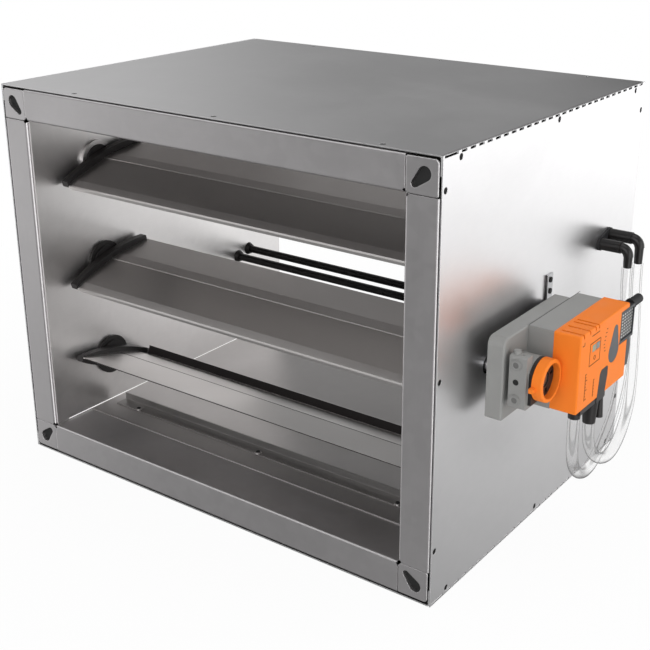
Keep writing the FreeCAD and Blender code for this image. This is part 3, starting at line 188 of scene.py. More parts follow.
GroupStart = tuple[bpy.types.NodeTree, NodeBench, dict[str, bpy.types.NodeSocket], bpy.types.Node]


class EffectLibrary:
    """Shader node groups that several finishes share."""

    def __init__(self) -> None:
        """Builds every group once."""
        self.spangle = self._spangle()
        self.grain = self._grain()
        self.marks = self._marks()
        self.skin = self._skin()

    def _group(self, name: str, inputs: dict[str, float], outputs: tuple[str, ...]) -> GroupStart:
        """Starts a group with a Vector input.

        Args:
            name: the group's name.
            inputs: number inputs and their defaults.
            outputs: number outputs.

        Returns:
            The group, its bench, the sockets that its inputs give, by name, and its output node.
        """
        group = bpy.data.node_groups.new(name, "ShaderNodeTree")
        group.interface.new_socket("Vector", in_out="INPUT", socket_type="NodeSocketVector")
        for key, value in inputs.items():
            socket = group.interface.new_socket(key, in_out="INPUT", socket_type="NodeSocketFloat")
            socket.default_value = value
        for key in outputs:
            group.interface.new_socket(key, in_out="OUTPUT", socket_type="NodeSocketFloat")
        bench = NodeBench(group)
        start = bench.add("NodeGroupInput")
        given = {key: start.outputs[key] for key in ("Vector", *inputs)}
        return group, bench, given, bench.add("NodeGroupOutput")

    def _spangle(self) -> bpy.types.NodeTree:
        """Zinc crystals: patches that differ a little in brightness."""
        group, bench, given, end = self._group("zinc_spangle", {"Scale": 140.0, "Contrast": 0.5}, ("Shade",))
        contrast = given.pop("Contrast")
        cells = bench.add("ShaderNodeTexVoronoi", {**given, "Smoothness": 0.35, "Randomness": 1.0},
                          feature="SMOOTH_F1")
        split = bench.add("ShaderNodeSeparateColor", {0: cells.outputs["Color"]})
        level = bench.math("MULTIPLY", bench.math("SUBTRACT", split.outputs[0], 0.5), contrast)
        bench.fill(end, {"Shade": bench.math("ADD", level, 0.5, clamp=True)})
        return group

    def _grain(self) -> bpy.types.NodeTree:
        """Fine lines of rolling or drawing, with the vector already stretched along them."""
        group, bench, given, end = self._group("rolling_grain", {"Scale": 900.0}, ("Streak",))
        noise = bench.add("ShaderNodeTexNoise", {**given, "Detail": 3.0, "Roughness": 0.6})
        bench.fill(end, {"Streak": noise.outputs["Fac"]})
        return group

    def _marks(self) -> bpy.types.NodeTree:
        """Broad soft patches, as left by handling, rolling oil and moisture."""
        group, bench, given, end = self._group("handling_marks", {"Scale": 6.0}, ("Mask",))
        wide = bench.add("ShaderNodeTexNoise", {**given, "Detail": 4.0, "Distortion": 0.6})
        soft = bench.add("ShaderNodeMapRange", {
            "Value": wide.outputs["Fac"], "From Min": 0.35, "From Max": 0.7}, interpolation_type="SMOOTHSTEP")
        bench.fill(end, {"Mask": soft.outputs["Result"]})
        return group

    def _skin(self) -> bpy.types.NodeTree:
        """The fine eroded texture of moulded plastic."""
        group, bench, given, end = self._group("moulded_skin", {"Scale": 1500.0}, ("Height", "Shade"))
        fine = bench.add("ShaderNodeTexNoise", {**given, "Detail": 2.0})
        broad_scale = bench.math("MULTIPLY", given["Scale"], 0.03)
        broad = bench.add("ShaderNodeTexNoise", {**given, "Scale": broad_scale, "Detail": 2.0})
        bench.fill(end, {"Height": fine.outputs["Fac"], "Shade": broad.outputs["Fac"]})
        return group


@dataclass(frozen=True)
class Finish:
    """What every finish has: a name, a colour, its gloss and how sharp its edges are."""

    name: str
    colour: Colour
    roughness: float
    edge: float = 0.0

    def _start(self) -> tuple[bpy.types.Material, NodeBench, bpy.types.Node, bpy.types.NodeSocket]:
        """Starts a material.

        Returns:
            The material, its bench, its shader and the Object coordinates.
        """
        material = bpy.data.materials.new(self.name)
        material.use_nodes = True
        material.diffuse_color = (*self.colour, 1.0)
        bench = NodeBench(material.node_tree)
        shader = material.node_tree.nodes["Principled BSDF"]
        coords = bench.add("ShaderNodeTexCoord")
        return material, bench, shader, coords.outputs["Object"]

    def _turned(self, bench: NodeBench, place: bpy.types.NodeSocket, scale: Point) -> bpy.types.NodeSocket:
        """Stretches the coordinates.

        Args:
            bench: the material's bench.
            place: the coordinates.
            scale: the stretch on each axis.

        Returns:
            The stretched coordinates.
        """
        mapping = bench.add("ShaderNodeMapping", {"Vector": place, "Scale": scale})
        return mapping.outputs["Vector"]

    def _effect(self, bench: NodeBench, group: bpy.types.NodeTree, vector: bpy.types.NodeSocket,
                **values: float) -> bpy.types.Node:
        """Places a shared group.

        Args:
            bench: the material's bench.
            group: the node group.
            vector: the coordinates that it reads.
            values: its number inputs.

        Returns:
            The group's node.
        """
        return bench.add("ShaderNodeGroup", {"Vector": vector, **values}, node_tree=group)

    def _toned(self, bench: NodeBench, share: bpy.types.NodeSocket, spread: float) -> bpy.types.NodeSocket:
        """Mixes a darker and a lighter tone of the colour.

        Args:
            bench: the material's bench.
            share: the socket that says how much of the lighter tone shows.
            spread: how far both tones lie from the colour.

        Returns:
            The colour socket.
        """
        dark = tuple(c * (1 - spread) for c in self.colour)
        light = tuple(min(1.0, c * (1 + spread)) for c in self.colour)
        return bench.blend(share, dark, light)

    def _relief(self, bench: NodeBench, shader: bpy.types.Node, height: bpy.types.NodeSocket,
                depth: float, strength: float) -> None:
        """Rounds the edges and adds fine relief.

        Args:
            bench: the material's bench.
            shader: the shader whose normal is set.
            height: the relief.
            depth: the height of the relief in metres.
            strength: how much of it shows.
        """
        bump = bench.add("ShaderNodeBump", {"Distance": depth, "Strength": strength, "Height": height})
        if self.edge > 0.0:
            bevel = bench.add("ShaderNodeBevel", {"Radius": self.edge}, samples=4)
            bench.fill(bump, {"Normal": bevel.outputs["Normal"]})
        bench.fill(shader, {"Normal": bump.outputs["Normal"]})


@dataclass(frozen=True)
class SheetMetal(Finish):
    """Galvanised sheet or drawn aluminium: rolled grain, soft patches and faint spangle."""

    grain: Grain = Grain.ALONG_X
    spangle: float = 0.1
    spangle_scale: float = 130.0
    patch: float = 0.05
    streak: float = 0.16
    grain_scale: float = 900.0
    marks_scale: float = 7.0
    shade_range: float = 0.14
    marks_gloss: float = 0.06
    crystal_gloss: float = 0.2
    relief: tuple[float, float] = (0.00002, 0.25)

    def build(self, effects: EffectLibrary) -> bpy.types.Material:
        """Builds the material.

        Args:
            effects: the shared node groups.

        Returns:
            The material.
        """
        material, bench, shader, place = self._start()
        cells = self._effect(bench, effects.spangle, place, Scale=self.spangle_scale, Contrast=self.spangle)
        along = self._turned(bench, place, self.grain.value)
        lines = self._effect(bench, effects.grain, along, Scale=self.grain_scale)
        marks = self._effect(bench, effects.marks, place, Scale=self.marks_scale)
        shade = bench.math("MULTIPLY", bench.math("SUBTRACT", lines.outputs[0], 0.5), self.streak)
        shade = bench.math("ADD", shade, cells.outputs["Shade"])
        lift = bench.math("MULTIPLY", marks.outputs["Mask"], self.patch)
        shade = bench.math("SUBTRACT", shade, lift, clamp=True)
        rough = bench.math("MULTIPLY", marks.outputs["Mask"], self.marks_gloss)
        rough = bench.math("ADD", rough, self.roughness)
        wander = bench.math("SUBTRACT", cells.outputs["Shade"], 0.5)
        wander = bench.math("MULTIPLY", wander, self.crystal_gloss)
        bench.fill(shader, {"Metallic": 1.0, "Base Color": self._toned(bench, shade, self.shade_range),
                            "Roughness": bench.math("ADD", rough, wander, clamp=True)})
        self._relief(bench, shader, lines.outputs[0], *self.relief)
        return material


@dataclass(frozen=True)
class Moulded(Finish):
    """Moulded plastic or rubber with a fine eroded skin."""

    skin_scale: float = 1600.0
    relief: tuple[float, float] = (0.00004, 0.4)
    skin_gloss: float = 0.25
    contrast: float = 0.08
    sheen: float = 0.5

    def build(self, effects: EffectLibrary) -> bpy.types.Material:
        """Builds the material.

        Args:
            effects: the shared node groups.

        Returns:
            The material.
        """
        material, bench, shader, place = self._start()
        skin = self._effect(bench, effects.skin, place, Scale=self.skin_scale)
        rough = bench.math("MULTIPLY", bench.math("SUBTRACT", skin.outputs["Shade"], 0.5), self.skin_gloss)
        bench.fill(shader, {"Specular IOR Level": self.sheen,
                            "Base Color": self._toned(bench, skin.outputs["Shade"], self.contrast),
                            "Roughness": bench.math("ADD", rough, self.roughness, clamp=True)})
        self._relief(bench, shader, skin.outputs["Height"], *self.relief)
        return material


@dataclass(frozen=True)
class ClearTube(Finish):
    """Clear soft tube: nearly unseen face on, grey at its edges and along its bore, a grey painted by how
    squarely it is seen: painted shade.
    """

    marks_scale: float = 25.0
    haze: float = 0.05
    cover: Stops = (
        (0.0, 0.05), (0.21, 0.08), (0.25, 0.42), (0.31, 0.42),
        (0.36, 0.10), (0.62, 0.16), (0.78, 0.7), (1.0, 0.9))
    tint: Stops = (
        (0.0, 0.9), (0.21, 0.85), (0.25, 0.25), (0.31, 0.25),
        (0.36, 0.8), (0.62, 0.7), (0.78, 0.22), (1.0, 0.12))

    def build(self, effects: EffectLibrary) -> bpy.types.Material:
        """Builds the material.

        Args:
            effects: the shared node groups.

        Returns:
            The material.
        """
        material, bench, shader, place = self._start()
        marks = self._effect(bench, effects.marks, place, Scale=self.marks_scale)
        rough = bench.math("ADD", bench.math("MULTIPLY", marks.outputs["Mask"], self.haze), self.roughness)
        facing = bench.add("ShaderNodeLayerWeight", {"Blend": 0.5}).outputs["Facing"]
        bench.fill(shader, {"Roughness": rough, "Alpha": bench.ramp(facing, self.cover),
                            "Base Color": bench.ramp(facing, self.tint)})
        return material


@dataclass(frozen=True)
class LightGap(Finish):
    """A glowing strip, painted light that stands for daylight through the fine gap between two sheets."""

    glow: float = 0.8
    marks_scale: float = 12.0
    unevenness: float = 0.3

    def build(self, effects: EffectLibrary) -> bpy.types.Material:
        """Builds the material.

        Args:
            effects: the shared node groups.

        Returns:
            The material.
        """
        material, bench, shader, place = self._start()
        marks = self._effect(bench, effects.marks, place, Scale=self.marks_scale)
        dim = bench.math("MULTIPLY", marks.outputs["Mask"], self.unevenness)
        bench.fill(shader, {"Emission Strength": bench.math("SUBTRACT", self.glow, dim),
                            "Emission Color": (*self.colour, 1.0), "Roughness": self.roughness})
        return material


@dataclass(frozen=True)
class Fleece(Finish):
    """Loose mineral wool."""

    fibre_scale: float = 400.0
    fibre_stretch: Point = (1.0, 0.2, 1.0)
    tuft_scale: float = 60.0
    shadow: float = 0.6
    relief: tuple[float, float] = (0.0008, 0.8)

    def build(self, effects: EffectLibrary) -> bpy.types.Material:
        """Builds the material.

        Args:
            effects: the shared node groups.

        Returns:
            The material.
        """
        material, bench, shader, place = self._start()
        along = self._turned(bench, place, self.fibre_stretch)
        fibre = self._effect(bench, effects.grain, along, Scale=self.fibre_scale)
        tuft = self._effect(bench, effects.marks, place, Scale=self.tuft_scale)
        shade = bench.math("MULTIPLY", fibre.outputs[0], tuft.outputs["Mask"], clamp=True)
        dark = tuple(c * self.shadow for c in self.colour)
        bench.fill(shader, {"Base Color": bench.blend(shade, dark, self.colour), "Roughness": self.roughness})
        self._relief(bench, shader, fibre.outputs[0], *self.relief)
        return material


class FinishShop:
    """All finishes of the box, by the name that the pieces ask for."""

    FINISHES: tuple[Finish, ...] = (
        SheetMetal("flange_zinc", (0.56, 0.545, 0.55), 0.36, 0.0006, Grain.ALONG_X, 0.14),
        SheetMetal("stile_zinc", (0.56, 0.545, 0.55), 0.36, 0.0006, Grain.ALONG_Z, 0.14),
        SheetMetal("corner_zinc", (0.58, 0.565, 0.57), 0.34, 0.0008, Grain.ALONG_X, 0.10),
        SheetMetal("duct_zinc", (0.69, 0.675, 0.67), 0.36, 0.0, Grain.ALONG_Y, 0.12),
        SheetMetal("floor_zinc", (0.55, 0.533, 0.528), 0.36, 0.0, Grain.ALONG_Y, 0.12),
        SheetMetal("strip_zinc", (0.40, 0.39, 0.385), 0.36, 0.0, Grain.ALONG_X, 0.08),
        SheetMetal("jacket_zinc", (0.70, 0.695, 0.70), 0.32, 0.0006, Grain.ALONG_Y, 0.05),
        SheetMetal("blade_aluminium", (0.59, 0.57, 0.56), 0.34, 0.0004, Grain.ALONG_X, 0.03),
        SheetMetal("turned_steel", (0.52, 0.52, 0.53), 0.28, 0.0003, Grain.ALONG_Y, 0.02),
        SheetMetal("bracket_zinc", (0.46, 0.46, 0.47), 0.38, 0.0004, Grain.ALONG_Z, 0.10),
        Moulded("black_moulding", (0.018, 0.016, 0.016), 0.45, 0.0005, sheen=0.38),
        # Near black: a dark strip on each blade's fin, and painted shade along the blades' grooves and front
        # edges
        Moulded("dark_strip_and_shade", (0.022, 0.018, 0.018), 0.7, 0.0, sheen=0.3),
        Moulded("black_pipe", (0.011, 0.010, 0.010), 0.36, 0.0, sheen=0.38),
        Moulded("black_rubber", (0.018, 0.018, 0.02), 0.6, 0.0003, sheen=0.3),
        # Near black: the bracket screws, and the jacket's rivets, sunk in their holes, painted as the holes'
        # shade
        Moulded("rivet_black", (0.006, 0.006, 0.006), 0.6, 0.0, sheen=0.15),
        Moulded("gear_moulding", (0.09, 0.09, 0.095), 0.45, 0.0003),
        Moulded("grey_moulding", (0.28, 0.28, 0.272), 0.5, 0.0006, contrast=0.05),
        # Darker grey: painted shade in the dimples of the block's bosses
        Moulded("grey_dimple_shade", (0.15, 0.15, 0.146), 0.6, 0.0, contrast=0.05),
        Moulded("orange_moulding", (0.95, 0.235, 0.026), 0.45, 0.0005, contrast=0.03, sheen=0.13),
        Moulded("slate_inlay", (0.055, 0.06, 0.066), 0.4, 0.0003),
        Moulded("socket_slate", (0.022, 0.025, 0.028), 0.4, 0.0003),
        Moulded("pale_inlay", (0.26, 0.29, 0.2), 0.25, 0.0002),
        Moulded("button_grey", (0.2, 0.23, 0.23), 0.45, 0.0002),
        Moulded("contact_pale", (0.62, 0.62, 0.60), 0.4, 0.0),
        # Dark orange brown: the marks on the cover's face, and painted shade on the floors of its vent
        # grooves
        Moulded("engraving_and_groove_shade", (0.17, 0.045, 0.01), 0.6, 0.0, sheen=0.1),
        # Near black: the housing's seam, and painted shade in the screws' drives, the clamp screw's hole and
        # behind the keyholes
        Moulded("joint_dark_and_recess_shade", (0.01, 0.01, 0.01), 0.6, 0.0),
        ClearTube("clear_tube", (0.9, 0.92, 0.93), 0.12),
        # A glowing strip: painted light along the duct's lower left corner
        LightGap("painted_gap_light", (1.0, 0.99, 0.98), 0.5),
        # Near black: painted shade of the wool where it shows deep in the slots
        Fleece("mineral_wool", (0.050, 0.047, 0.036), 1.0),
    )

    def __init__(self) -> None:
        """Builds every material once."""
        effects = EffectLibrary()
        self._made = {finish.name: finish.build(effects) for finish in self.FINISHES}

    def dress(self, piece: bpy.types.Object, name: str) -> None:
        """Gives a piece its finish.

        Args:
            piece: the object.
            name: the finish's name.
        """
        slots = piece.data.materials
        if len(slots) == 0:
            slots.append(self._made[name])
        for index in range(len(slots)):
            slots[index] = self._made[name]


def link(name: str, data: bpy.types.ID) -> bpy.types.Object:
    """Makes an object and links it into the scene.

    Args:
        name: its name.
        data: its mesh, curve, lamp or camera.

    Returns:
        The object.
    """
    item = bpy.data.objects.new(name, data)
    bpy.context.scene.collection.objects.link(item)
    return item


def link_mesh(name: str, shape: bmesh.types.BMesh) -> bpy.types.Object:
    """Makes an object from a bmesh and links it into the scene.

    Args:
        name: the name of the mesh and of the object.
        shape: the bmesh, which is freed here.

    Returns:
        The object.
    """
    mesh = bpy.data.meshes.new(name)
    shape.to_mesh(mesh)
    shape.free()
    return link(name, mesh)


@dataclass(frozen=True)
class Bar:
    """A small rectangular block between two corners, in millimetres."""

    low: Point
    high: Point

    def add_to(self, shape: bmesh.types.BMesh) -> None:
        """Adds the block to a mesh.

        Args:
            shape: the mesh.
        """
        low, high = Vector(self.low) * MM, Vector(self.high) * MM
        place = Matrix.Translation((low + high) / 2) @ Matrix.Diagonal((*(high - low), 1.0))
        bmesh.ops.create_cube(shape, size=1.0, matrix=place)


@dataclass(frozen=True)
class Ring:
    """A flat ring about an axis through its centre, in millimetres."""

    centre: Point
    axis: Point
    inner: float
    outer: float
    height: float
    steps: int = 40

    def add_to(self, shape: bmesh.types.BMesh) -> None:
        """Adds the ring to a mesh by turning its section once round.

        Args:
            shape: the mesh.
        """
        axis = Vector(self.axis).normalized()
        side = axis.orthogonal().normalized()
        centre = Vector(self.centre) * MM
        section = [shape.verts.new(centre + (side * r + axis * h) * MM) for r, h in (
            (self.inner, 0.0), (self.inner, self.height), (self.outer, self.height), (self.outer, 0.0))]
        edges = [shape.edges.new((section[k], section[(k + 1) % 4])) for k in range(4)]
        bmesh.ops.spin(shape, geom=section + edges, cent=centre, axis=axis, angle=2 * math.pi,
                       steps=self.steps, use_merge=True)


@dataclass
class SubAssembly:
    """One group of pieces of the box: its CAD nodes and the finish of each."""

    shop: FinishShop
    nodes: dict[str, bpy.types.Object]
    finishes: dict[str, str] = field(default_factory=dict)

    def dress(self) -> None:
        """Gives every CAD node of the group its finish."""
        for node, finish in self.finishes.items():
            self.shop.dress(self.nodes[node], finish)

    def add_mesh(self, name: str, shape: bmesh.types.BMesh, body: str, finish: str, slot: str) -> None:
        """Makes a piece from a bmesh.

        Args:
            name: the piece's name.
            shape: the mesh, which is freed here.
            body: the CAD body that it rides on.
            finish: the finish's name.
            slot: not used.
        """
        bmesh.ops.recalc_face_normals(shape, faces=shape.faces)
        piece = link_mesh(name, shape)
        self.shop.dress(piece, finish)
        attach(piece, body)
        log.info("piece %s on %s", name, body)

    def add_solids(self, name: str, solids: list[Bar | Ring], body: str, finish: str, slot: str) -> None:
        """Makes one piece from bars and rings.

        Args:
            name: the piece's name.
            solids: the bars and rings.
            body: the CAD body that it rides on.
            finish: the finish's name.
            slot: handed on to add_mesh.
        """
        shape = bmesh.new()
        for solid in solids:
            solid.add_to(shape)
        self.add_mesh(name, shape, body, finish, slot)

    def build(self) -> None:
        """Adds the group's own pieces; a group without any keeps this one."""


@dataclass
class Casing(SubAssembly):
    """Flange frames, inner duct, outer jacket, rivets and mineral wool, with the duct's own small pieces."""

    finishes: dict[str, str] = field(default_factory=lambda: {
        "front_flange_rails": "flange_zinc", "rear_flange_rails": "flange_zinc",
        "front_flange_stiles": "stile_zinc", "rear_flange_stiles": "stile_zinc",
        "front_flange_corner_pieces": "corner_zinc", "rear_flange_corner_pieces": "corner_zinc",
        "duct_floor": "floor_zinc", "duct_roof": "duct_zinc",
        "duct_side_left": "duct_zinc", "duct_side_right": "duct_zinc",
        "jacket_top": "jacket_zinc", "jacket_bottom": "jacket_zinc",
        "jacket_left": "jacket_zinc", "jacket_right": "jacket_zinc",
        "jacket_rivets": "rivet_black", "insulation_slabs": "mineral_wool", "blade_stops": "strip_zinc",
        "stop_screws": "strip_zinc"})
    duct_half: float = 199.0
    floor_top: float = 31.0
    # The painted corner light: its width and height, and where it begins and ends
    gap: tuple[float, float] = (0.4, 0.5)
    duct_y: tuple[float, float] = (-158.0, 174.0)
    screw_x: tuple[float, ...] = (-156.5, -1.5, 153.5)
    screw_y: float = -105.0
    screw_top: float = 33.6
    # Painted shade in the stop screws' drives: a dark disc sunk a little into each head
    drive_sink: float = 0.2
    # Rings: inner radius, outer radius and height
    drive_shade: tuple[float, float, float] = (DISC_HOLE, 2.0, 0.3)
    bush: Point = (-196.0, -98.0, 280.0)
    washer: tuple[float, float, float] = (15.3, 19.6, 0.1)
    washer_rim: tuple[float, float, float] = (19.5, 19.6, 3.0)
    # Distances from the middle: least and greatest x, least and greatest z
    keyhole: tuple[float, float, float, float] = (204.0, 226.0, 154.5, 176.5)
    keyhole_y: float = 172.2
    keyhole_half_t: float = 0.1
    middle_z: float = 180.0

    def build(self) -> None:
        """Adds the painted corner light, painted shade in the screws' drives, the bush washer and painted
        shade behind the keyholes.
        """
        self._corner_light()
        drive_shades = [Ring((x, self.screw_y, self.screw_top - self.drive_sink), UP, *self.drive_shade)
                  for x in self.screw_x]
        self.add_solids("stop_screw_drive_shade", drive_shades, "casing", "joint_dark_and_recess_shade", "screw_steel")
        washer = [Ring(self.bush, RIGHT, *self.washer),
                  Ring((-self.duct_half, *self.bush[1:]), RIGHT, *self.washer_rim)]
        self.add_solids("upper_bush_washer", washer, "casing", "duct_zinc", "duct_steel")
        self._keyhole_shade()

    def _corner_light(self) -> None:
        """Adds the thin glowing strip along the duct's lower left corner: painted light."""
        left, floor = -self.duct_half, self.floor_top
        front, rear = self.duct_y
        shape = bmesh.new()
        start = [shape.verts.new(Vector((x, front, z)) * MM) for x, z in (
            (left, floor), (left + self.gap[0], floor), (left, floor + self.gap[1]))]
        side = bmesh.ops.extrude_face_region(shape, geom=[shape.faces.new(start)])
        moved = [item for item in side["geom"] if isinstance(item, bmesh.types.BMVert)]
        bmesh.ops.translate(shape, verts=moved, vec=(0.0, (rear - front) * MM, 0.0))
        self.add_mesh("painted_corner_light", shape, "casing", "painted_gap_light", "duct_steel")

    def _keyhole_shade(self) -> None:
        """Adds a black plate behind each keyhole of both flanges: painted shade of the hollow behind it."""
        x0, x1, z0, z1 = self.keyhole
        shade_plates = []
        for sx in (-1, 1):
            for sz in (-1, 1):
                left, right = sorted((sx * x0, sx * x1))
                low, high = sorted((sz * z0, sz * z1))
                for y in (-self.keyhole_y, self.keyhole_y):
                    shade_plates.append(Bar((left, y - self.keyhole_half_t, self.middle_z + low),
                                     (right, y + self.keyhole_half_t, self.middle_z + high)))
        self.add_solids("keyhole_shade_plates", shade_plates, "casing", "joint_dark_and_recess_shade", "black_rubber")


@dataclass
class Damper(SubAssembly):
    """Blades with their end caps, bushes, gears, idlers and the drive shaft, with dark fin strips and painted
    shade along grooves and edges.
    """

    finishes: dict[str, str] = field(default_factory=lambda: {
        **{f"{level}_blade": "blade_aluminium" for level in LEVELS},
        **{f"{level}_blade_{side}_cap": "black_moulding" for level in LEVELS for side in ("left", "right")},
        **{f"{level}_gear": "gear_moulding" for level in LEVELS},
        "shaft_bushes": "black_moulding", "drive_shaft": "turned_steel", "idler_pins": "turned_steel",
        "upper_idler": "gear_moulding", "lower_idler_a": "gear_moulding", "lower_idler_b": "gear_moulding"})
    shaft_y: float = -98.0
    # Name, height and tilt of each blade; u runs across a blade and n away from its face
    shafts: tuple[tuple[str, float, float], ...] = (
        ("upper", 280.0, 15.0), ("middle", 180.0, 15.0), ("lower", 80.0, 165.0))
    # The dark strip on each fin: where it lies across the blade, its heights and its thickness
    fin_strip_u: float = -38.8
    fin_strip_n: tuple[float, float] = (-8.8, -1.0)
    fin_strip_t: float = 0.15
    strip_half_l: float = 184.5
    # Painted shade along the groove of the flatter side
    groove_shade_u: tuple[float, float] = (0.5, 1.5)
    groove_shade_n: tuple[float, float] = (-4.24, -4.1)
    edge_u: tuple[float, float] = (48.6, 48.65)
    edge_n: tuple[float, float] = (-2.0, -1.25)

    def build(self) -> None:
        """Adds a dark strip on each blade's fin, painted shade along the groove of its flatter side and the
        painted shadow line of its edge.
        """
        strips = {"fin_strip": ((self.fin_strip_u, self.fin_strip_u + self.fin_strip_t), self.fin_strip_n),
                  "groove_shade": (self.groove_shade_u, self.groove_shade_n),
                  "edge_shadow": (self.edge_u, self.edge_n)}
        for name, height, tilt in self.shafts:
            turn = Matrix.Rotation(math.radians(tilt), 4, "X")
            place = Matrix.Translation(Vector((0.0, self.shaft_y, height)) * MM)
            for kind, ((u0, u1), (n0, n1)) in strips.items():
                shape = bmesh.new()
                Bar((-self.strip_half_l, u0, n0), (self.strip_half_l, u1, n1)).add_to(shape)
                bmesh.ops.transform(shape, matrix=place @ turn, verts=shape.verts)
                self.add_mesh(f"{name}_blade_{kind}", shape, name + "_damper", "dark_strip_and_shade", "black_rubber")


@dataclass
class Probes(SubAssembly):
    """Pressure probe rods across the duct and their way out to the hoses."""

    finishes: dict[str, str] = field(default_factory=lambda: {
        "lower_probe_rods": "black_pipe", "upper_probe_rods": "black_pipe", "probe_sockets": "black_moulding",
        "riser_tubes": "black_moulding", "tube_grommet": "black_rubber", "tube_elbows": "black_pipe"})


@dataclass(frozen=True)
class TickColumn:
    """A column of short engraved ticks, some of them longer, in millimetres."""

    y: float
    z: float
    pitch: float
    count: int
    length: float
    long_length: float
    long_every: int


@dataclass
class Actuator(SubAssembly):
    """The actuator on the middle blade's shaft, with the marks and contacts on its faces."""

    finishes: dict[str, str] = field(default_factory=lambda: {
        # The clamp screw is near black: painted shade of its hole
        "actuator_base": "grey_moulding", "actuator_body": "grey_moulding", "clamp_screw": "joint_dark_and_recess_shade",
        "bearing_plate": "black_moulding", "shaft_clamp": "black_moulding",
        "position_ring": "orange_moulding", "actuator_cover": "orange_moulding",
        "cover_window": "slate_inlay", "status_window": "pale_inlay",
        "release_button": "button_grey", "service_socket": "socket_slate", "cable_gland": "black_rubber",
        "hose_ports": "black_moulding", "torque_bracket": "bracket_zinc", "bracket_screws": "rivet_black"})
    face_x: float = 298.0
    rise: float = 0.08
    line: float = 0.7
    top_z: float = 212.5
    cover_front: float = -80.0
    # Engraved frame: front, rear, lower and upper edge. Circle: y, z and radius
    frame: tuple[float, float, float, float] = (-62.4, -43.6, 182.0, 200.4)
    circle: tuple[float, float, float] = (-52.7, 187.0, 1.9)
    # Each vent's distance from the cover's front
    vents: tuple[float, ...] = (4.7, 15.5, 25.7, 31.6)
    vent_w: float = 1.8
    vent_l: float = 19.0
    vent_d: float = 1.4
    vent_down: float = 3.2
    vent_gap: float = 0.02
    # Level marks: both ends and the height. Upright marks: y and both heights
    level_marks: tuple[Point, ...] = ((-60.0, -46.3, 206.6), (-76.4, -73.2, 203.4))
    upright_marks: tuple[Point, ...] = ((-73.4, 203.4, 206.2), (-67.4, 155.0, 177.5), (-51.6, 153.0, 167.5))
    tick_columns: tuple[TickColumn, ...] = (
        TickColumn(-67.4, 155.4, 2.7, 9, 2.0, 3.8, 3), TickColumn(-51.6, 153.6, 2.7, 6, 1.8, 1.8, 1))
    bow: TickColumn = TickColumn(-36.6, 185.5, 3.0, 7, 2.2, 2.2, 1)
    bow_middle: int = 2
    bow_depth: float = 0.9
    bow_power: float = 1.1
    seam_x: tuple[float, float] = (253.8, 254.3)
    seam_y: tuple[float, float] = (-79.6, 11.4)
    seam_t: float = 0.03
    block_x: float = 263.6
    block_y: float = -116.0
    boss_y: float = -116.9
    shaft_z: float = 180.0
    boss_z: tuple[float, float] = (165.6, 194.4)
    # Rings: inner radius, outer radius and height
    boss_ring: tuple[float, float, float] = (2.4, 3.7, 0.5)
    # A darker disc in each boss: painted shade of its dimple
    boss_dimple_shade: tuple[float, float, float] = (DISC_HOLE, 2.4, 0.06)
    # A black disc at the mouth of the clamp screw's hole: painted shade
    screw_hole_shade: tuple[float, float, float] = (DISC_HOLE, 2.35, 0.04)
    dish: float = 1.0
    contact_rows: int = 8
    # Contacts: lowest row, pitch and height; then the place and width of each column
    contact_z: tuple[float, float, float] = (184.6, 2.7, 1.2)
    contact_y: tuple[tuple[float, float], ...] = (
        (-0.9, 3.4), (4.6, 2.2), (9.0, 1.3), (12.4, 1.3), (15.8, 1.3), (19.0, 1.3))

    def build(self) -> None:
        """Adds the plain marks, painted vent shade, seam, boss rings, painted shade in the bosses' dimples
        and the clamp screw's hole, and contacts.
        """
        self._marks()
        self._vents()
        seam = Bar((self.seam_x[0], self.seam_y[0], self.top_z),
                   (self.seam_x[1], self.seam_y[1], self.top_z + self.seam_t))
        self.add_solids("housing_seam", [seam], "casing", "joint_dark_and_recess_shade", "grey_housing")
        rings = [Ring((self.block_x, self.boss_y, z), FRONT, *self.boss_ring) for z in self.boss_z]
        self.add_solids("block_boss_rings", rings, "casing", "grey_moulding", "grey_housing")
        dimple_shades = [Ring((self.block_x, self.boss_y, z), FRONT, *self.boss_dimple_shade) for z in self.boss_z]
        self.add_solids("block_boss_dimple_shade", dimple_shades, "casing", "grey_dimple_shade", "grey_housing")
        way = Ring((self.block_x, self.block_y, self.shaft_z), FRONT, *self.screw_hole_shade)
        self.add_solids("clamp_screw_hole_shade", [way], "casing", "joint_dark_and_recess_shade", "screw_steel")
        self._contacts()

    def _marks(self) -> None:
        """Adds the frame, the circle, the lines and the ticks engraved in the cover's face."""
        y0, y1, z0, z1 = self.frame
        marks = [self._line(y0, y1, z) for z in (z0, z1)] + [self._rise(y, z0, z1) for y in (y0, y1)]
        marks += [self._line(*mark) for mark in self.level_marks]
        marks += [self._rise(*mark) for mark in self.upright_marks]
        for row in self.tick_columns:
            for k in range(row.count):
                length = row.length if k % row.long_every else row.long_length
                marks.append(self._line(row.y, row.y + length, row.z + row.pitch * k))
        for k in range(self.bow.count):
            y = self.bow.y + self.bow_depth * abs(k - self.bow_middle) ** self.bow_power
            marks.append(self._line(y, y + self.bow.length, self.bow.z + self.bow.pitch * k))
        cy, cz, radius = self.circle
        marks.append(Ring((self.face_x, cy, cz), RIGHT, radius - self.line, radius, self.rise))
        self.add_solids("cover_marks", marks, "casing", "engraving_and_groove_shade", "orange_housing")

    def _line(self, y0: float, y1: float, z: float) -> Bar:
        """A level engraved line on the cover's face.

        Args:
            y0: where it begins.
            y1: where it ends.
            z: its lower edge.

        Returns:
            The line as a bar.
        """
        return Bar((self.face_x, y0, z), (self.face_x + self.rise, y1, z + self.line))

    def _rise(self, y: float, z0: float, z1: float) -> Bar:
        """An upright engraved line on the cover's face.

        Args:
            y: its front edge.
            z0: its lower end.
            z1: its upper end.

        Returns:
            The line as a bar.
        """
        return Bar((self.face_x, y, z0), (self.face_x + self.rise, y + self.line, z1))

